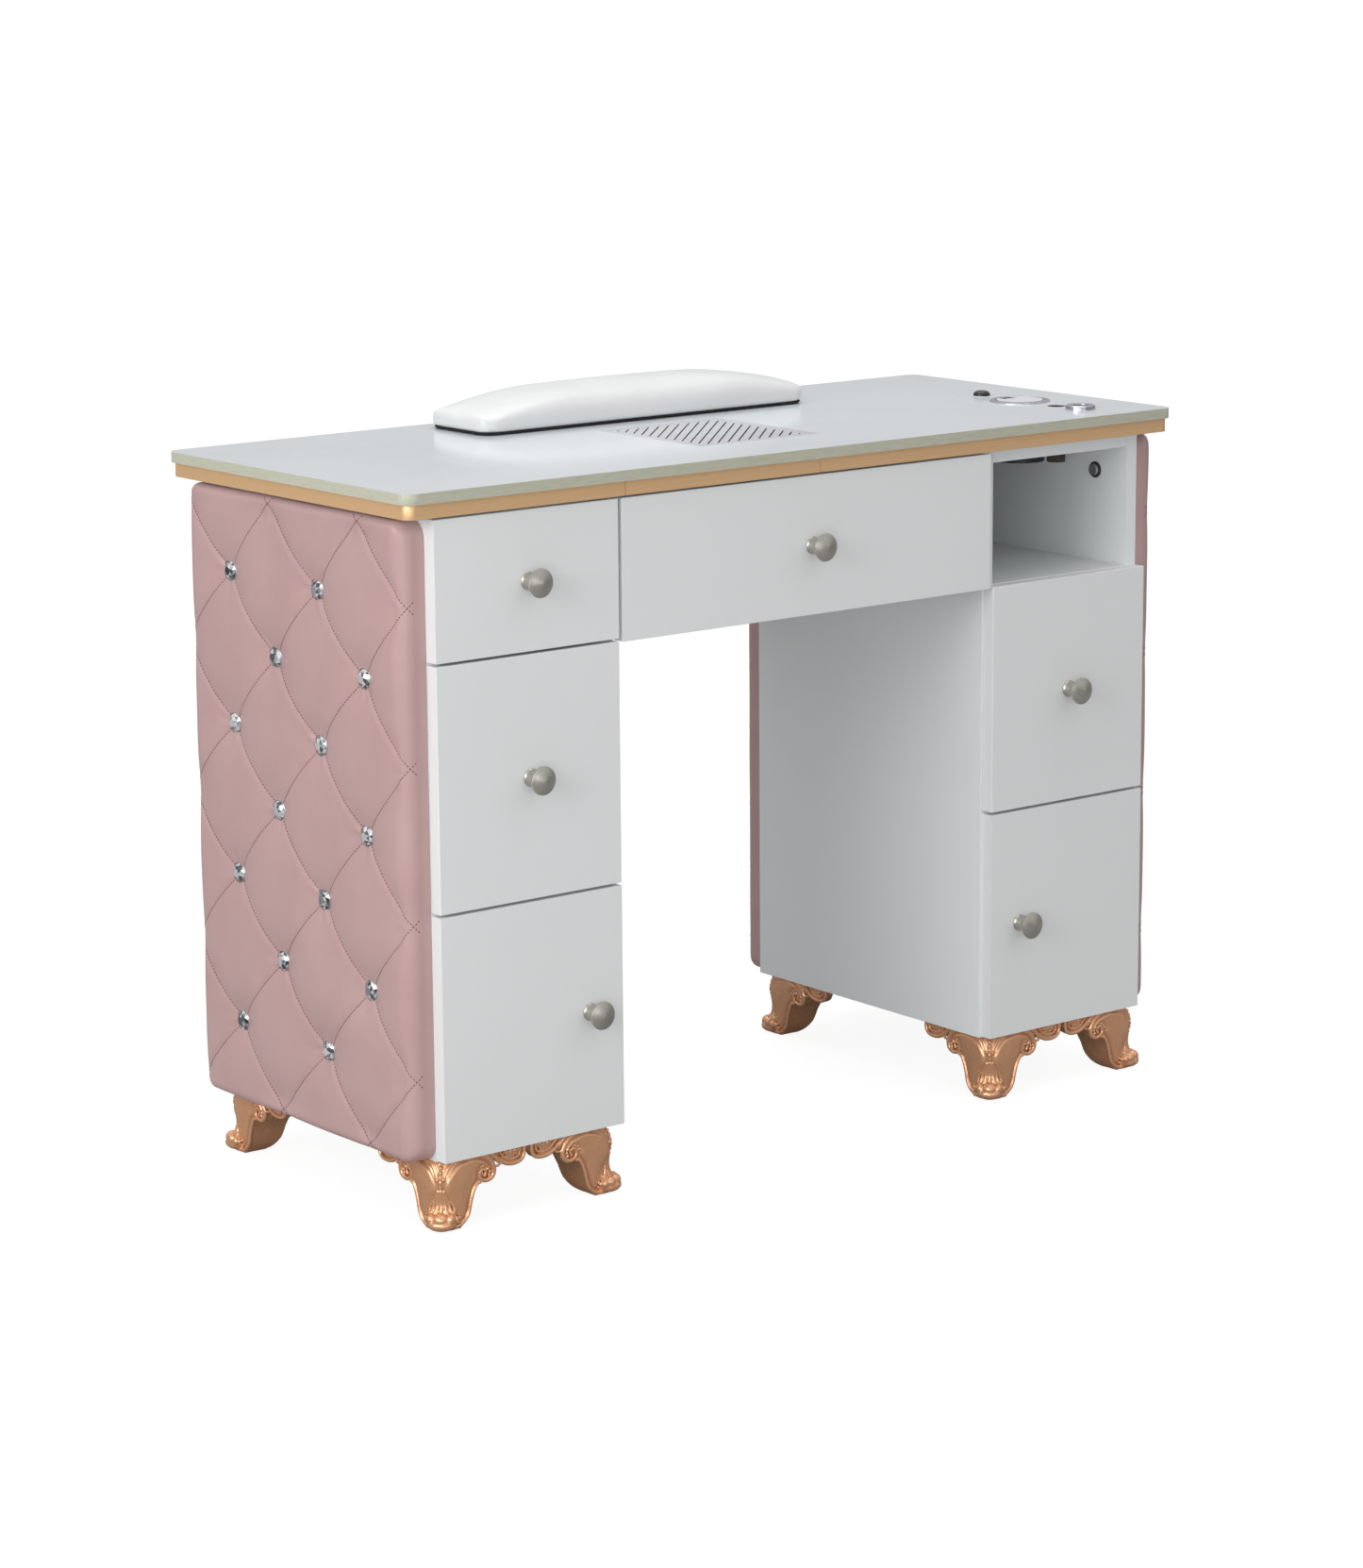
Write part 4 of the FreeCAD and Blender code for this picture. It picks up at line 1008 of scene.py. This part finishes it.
GROMMET = ((28.2, -71), (30, -71), (30, 0), (36, 0), (36, 0.5), (35.6, 1.1), (34.4, 1.7), (31, 2.0),
           (28.9, 2.0), (28.3, 1.4), (28.2, 0), (28.2, -71))
# black discs down the grommet and socket holes: painted shadow inside the tubes
GROMMET_SHADOW_DISC = ((0, -5.5), (28.1, -5.5), (28.1, -4.5), (0, -4.5))
SOCKET = ((10.6, -46), (13, -46), (13, 0), (17.5, 0), (17.5, 3.4), (17.2, 4.2), (16.2, 5.0),
          (14.6, 5.3), (12.4, 5.2), (10.9, 4.6), (10.6, 3.6), (10.6, -46))
SOCKET_SHADOW_DISC = ((0, -7), (10.5, -7), (10.5, -6), (0, -6))
HOLE_LINING = ((10.2, -66), (10.95, -66), (10.95, -0.6), (10.2, -0.6), (10.2, -66))
BOLT_WASHER = ((6.8, 0), (9.4, 0), (9.6, 0.6), (9.4, 1.9), (6.8, 1.9), (6.8, 0))
CABLE_HOLE_Y = -0.117
CHROME_DEPTH = -0.004       # below this the fittings' tubes are black plastic


def in_metres(profile):
    return [(radius * MM, height * MM) for radius, height in profile]


def lathe(name, node, axis, origin, profile, material, body, segments=128):
    """A turned piece whose own origin is on its axis, in place of a CAD node if one is named."""
    shape = turned_shape(in_metres(profile), aim((0, 0, 0), axis), segments)
    piece = add_piece(name, shape, material, body, sharp=28, origin=origin)
    if node:
        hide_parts(node)


def make_knobs():
    nickel = turned("turned_nickel", (0.60, 0.575, 0.52), (0.45, 0.43, 0.385))
    owners = {d + "_knob": d + "_drawer" for d in DRAWERS}
    owners.update({side + "_door_knob": side + "_door_leaf" for side in SIDES})
    for node, body in owners.items():
        low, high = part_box(node)
        origin = ((low.x + high.x) / 2, high.y, (low.z + high.z) / 2)
        lathe(node + "_turned", node, (0, -1, 0), origin, KNOB, nickel, body)


def make_fittings():
    """The speed knob, cable grommet, socket and cable hole in the right end of the top."""
    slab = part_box("stone_top")[1].z

    def on_slab(name, node, near, profile, material, segments,
                body="table", y=None):
        low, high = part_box(near)
        if y is None:
            y = (low.y + high.y) / 2
        origin = ((low.x + high.x) / 2, y, slab)
        lathe(name, node, UP, origin, profile, material, body, segments)

    gloss = plastic("black_gloss", (0.012, 0.012, 0.014), 0.16, 0.03)
    clear = plastic("dial_washer", (0.62, 0.63, 0.64), 0.2, 0.02)
    metal = chrome_over_black(CHROME_DEPTH)
    dark = plastic("shadow_black", (0.006, 0.006, 0.007), 0.8, 0.5)
    brown = plastic("board_core", (0.06, 0.045, 0.032), 0.9, 0.5)
    dial, grommet, socket = "speed_knob", "grommet_ring", "socket_bezel"
    on_slab("speed_knob_dome", dial, dial, DIAL_DOME, gloss, 64, body="speed_dial")
    on_slab("speed_dial_washer", None, dial, DIAL_WASHER, clear, 64)
    on_slab("grommet_flange", grommet, grommet, GROMMET, metal, 128)
    # a black disc in each hole as painted shadow of the tube's inside
    on_slab("grommet_shadow_disc", None, grommet, GROMMET_SHADOW_DISC, dark, 128)
    on_slab("socket_collar", socket, socket, SOCKET, metal, 128)
    on_slab("socket_shadow_disc", None, socket, SOCKET_SHADOW_DISC, dark, 64)
    on_slab("hole_lining", None, socket, HOLE_LINING, brown, 64, y=CABLE_HOLE_Y)
    finish_cad(["grommet_cap"], plastic("cap_silver", (0.50, 0.51, 0.54), 0.5, 0.05), 0.0004)


def make_bolt_heads():
    """Washers on the bolts that hold the side pads."""
    wall = abs(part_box("left_outer_panel")[1].x)
    low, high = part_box("pad_bolts")
    inset = 0.008               # from the bolts' box to the outermost bolts' axes
    shapes = []
    for side in SIDES.values():
        for y in (low.y + inset, high.y - inset):
            for z in (low.z + inset, high.z - inset):
                spot = aim((side * wall, y, z), (-side, 0, 0))
                shapes.append(turned_shape(in_metres(BOLT_WASHER), spot, 32))
    dark = plastic("dark_washer", (0.03, 0.03, 0.028), 0.4)
    add_piece("bolt_washers", joined(shapes), dark, "table", sharp=35)


# ---- wrist rest
REST_CORNER = 0.020     # rounding of its outline
REST_SIDE = 0.021       # height of its sides at the ends
OVERHANG = Vector((0, 0, 0.0045))       # how far the cover hangs over the edge of the board


def rest_blank(low, high):
    """The cushion before it swells: vertical sides, and a top that slopes up from both ends."""
    length, depth, crown = high - low
    u, v = (size * (0.5 - 0.5 * np.cos(math.pi * np.arange(count) / (count - 1)))
            for size, count in ((length, 97), (depth, 33)))
    u, v = np.meshgrid(u, v, indexing="ij")
    ends = np.minimum(np.minimum(u, length - u) / 0.13, 1.0)
    ends = np.sin(ends * math.pi / 2) ** 1.15
    round_v = np.sqrt(np.clip(1 - np.abs(2 * v / depth - 1) ** 4.2, 0, 1))
    top = (REST_SIDE + (crown - REST_SIDE) * ends) * (0.52 + 0.48 * round_v)
    u, v = rounded_plan(u, v, length, depth, REST_CORNER)
    points = [low + Vector(p) for height in (top, 0 * top)
              for p in np.stack((u, v, height), axis=-1).reshape(-1, 3)]
    index = np.arange(u.size).reshape(u.shape)
    faces = []
    for a in range(u.shape[0] - 1):
        for b in range(u.shape[1] - 1):
            ring = [int(index[spot]) for spot in ((a, b), (a + 1, b), (a + 1, b + 1), (a, b + 1))]
            faces += [tuple(ring), tuple(k + u.size for k in reversed(ring))]
    rim = rim_of(index)
    return points, faces + band([k + u.size for k in rim], rim)


def swollen(piece, held_below):
    """Blows a cushion up as cloth, its points below a height held still, and smooths it."""
    cap = 0.004                 # the furthest that a point may move
    modify(piece, "REMESH", mode="VOXEL", voxel_size=0.005)
    even = bpy.data.meshes.new_from_object(evaluated(piece))
    piece.modifiers.clear()
    material = piece.data.materials[0]
    piece.data = even
    even.materials.clear()
    even.materials.append(material)
    start = np.array([tuple(v.co) for v in even.vertices])
    held = piece.vertex_groups.new(name="held")
    held.add([k for k, p in enumerate(start) if p[2] < held_below], 1.0, "REPLACE")
    cloth = modify(piece, "CLOTH")
    for key, value in (("quality", 6), ("mass", 0.25), ("tension_stiffness", 25),
                       ("compression_stiffness", 20), ("shear_stiffness", 12),
                       ("bending_stiffness", 0.8), ("use_pressure", True),
                       ("uniform_pressure_force", 4.0), ("vertex_group_mass", "held")):
        setattr(cloth.settings, key, value)
    cloth.settings.effector_weights.gravity = 0
    cloth.point_cache.frame_start = 1
    cloth.point_cache.frame_end = 20
    for moment in range(1, 21):
        bpy.context.scene.frame_set(moment)
    grown = bpy.data.meshes.new_from_object(evaluated(piece))
    move = np.array([tuple(v.co) for v in grown.vertices]) - start
    piece.modifiers.clear()
    bpy.context.scene.frame_set(1)
    far = np.linalg.norm(move, axis=1, keepdims=True)
    end = start + move * np.minimum(1.0, cap / np.maximum(far, 1e-9))
    even.vertices.foreach_set("co", end.ravel())
    even.shade_smooth()
    modify(piece, "SMOOTH", factor=0.5, iterations=4)
    modify(piece, "SUBSURF", levels=1, render_levels=1)


def make_wrist_rest():
    """White faux-leather cushion on a thin black board, its cover stapled underneath."""
    low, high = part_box("wrist_rest_cushion")
    low = low - OVERHANG
    # it swells into its box from a slightly smaller form
    blank = rest_blank(low + Vector((0.0025, 0.0025, 0)), high - Vector((0.0025, 0.0025, 0.003)))
    hide = faux_leather("white_leather", (0.70, 0.71, 0.705), (0.66, 0.675, 0.67), 0.14, 0.38)
    cushion = add_piece("wrist_rest_cover", blank, hide, "wrist_rest")
    swollen(cushion, low.z + 0.004)
    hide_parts("wrist_rest_cushion")
    finish_cad(["wrist_rest_base"], plastic("base_cloth", (0.014, 0.014, 0.015), 0.8, 0.5), 0.001)


def make_cover_edge():
    """The cut edge of the black lining, uneven where it is stapled under the cushion."""
    low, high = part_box("wrist_rest_cushion")
    rng = random.Random(4)
    inset = 0.004 + REST_CORNER
    u0, u1, v0, v1 = low.x + inset, high.x - inset, low.y + inset, high.y - inset
    line = []
    for x, y, turn in ((u1, v0, 270), (u1, v1, 0), (u0, v1, 90), (u0, v0, 180)):
        line += arc(x, y, REST_CORNER, turn, turn + 90, 8)
    steps = []
    for here, after in zip(line, line[1:] + line[:1]):
        parts = max(1, int(math.dist(here, after) / 0.003))
        steps += [Vector(here).lerp(after, m / parts) for m in range(parts)]
    centre = Vector(((u0 + u1) / 2, (v0 + v1) / 2, 0))
    points, rings = [], []
    for x, y in steps:
        ragged = rng.uniform(0, 0.0013)
        inward = (centre - Vector((x, y, 0))).normalized()
        outer = Vector((x, y, low.z - OVERHANG.z + 0.0004))
        rings.append(range(len(points), len(points) + 4))
        points += [outer + inward * deep + Vector((0, 0, lift)) for deep, lift in
                   ((0.001, -0.0012 - ragged), (0.012, -0.0016), (0.012, 0.0002), (0, 0))]
    faces = []
    for ring, after in zip(rings, rings[1:] + rings[:1]):
        faces += band(ring, after)
    lining = plastic("lining", (0.012, 0.012, 0.013), 0.85, 0.5)
    add_piece("wrist_rest_lining", (points, faces), lining, "wrist_rest", sharp=40)


# ---- CAD nodes that stay
def finish_cad(names, material, bevel=0.0006):
    """Give carried-over nodes their material, and a fine bevel so that their edges catch light."""
    for name in names:
        node = NODES[name]
        node.data.materials.clear()
        node.data.materials.append(material)
        modify(node, "WELD", merge_threshold=1e-5)
        if bevel:
            modify(node, "BEVEL", width=bevel, segments=2, limit_method="ANGLE",
                   angle_limit=math.radians(40), harden_normals=True)


def dress_cad():
    board = lacquer("white_board", (0.84, 0.865, 0.87), 0.34)
    front = lacquer("front_lacquer", (0.83, 0.85, 0.848), 0.30)
    inside = lacquer("drawer_board", (0.76, 0.765, 0.75), 0.5)
    steel = brushed("zinc_steel", (0.66, 0.66, 0.67), (0.5, 0.5, 0.52), (40, 700, 700), 0.32)
    black = plastic("black_plastic", (0.018, 0.018, 0.02))
    gold = brushed("brushed_gold", (0.96, 0.63, 0.345), (0.84, 0.53, 0.275), (9, 900, 900), 0.42,
                   metallic=0.55)
    silver = brushed("vent_silver", (0.93, 0.94, 0.96), (0.82, 0.83, 0.86), (900, 20, 900),
                     strength=0.04)
    finish_cad(["stone_top"], marble(), 0.0014)
    # a bevel leaves slivers on these two, round their bolt holes
    finish_cad(["left_outer_panel", "right_outer_panel"], board, 0)
    finish_cad(["left_inner_panel", "right_inner_panel", "pedestal_tops", "pedestal_bottoms",
                "door_dividers", "pedestal_backs", "compartment_floor", "apron_panel",
                "sub_top"], board)
    finish_cad([d + "_front" for d in DRAWERS] + ["left_door", "right_door"], front, 0.0009)
    finish_cad([d + "_box" for d in DRAWERS], inside)
    finish_cad([d + "_sliders" for d in DRAWERS] + ["cabinet_slides", "hinge_plates",
               "left_hinge_cups", "right_hinge_cups", "pad_bolts"], steel, 0.0003)
    finish_cad(["trim_left", "trim_right", "trim_front", "trim_rear"], gold, 0.0004)
    finish_cad(["vent_grille"], silver, 0.0002)
    finish_cad(["dust_housing", "fan_frame", "speed_controller", "push_button"], black, 0.0004)
    finish_cad(["fan_rotor"], plastic("fan_grey", (0.06, 0.06, 0.065), 0.35), 0.0004)


make_camera()
make_studio()
dress_cad()
make_pads()
make_feet()
make_knobs()
make_fittings()
make_bolt_heads()
make_wrist_rest()
make_cover_edge()
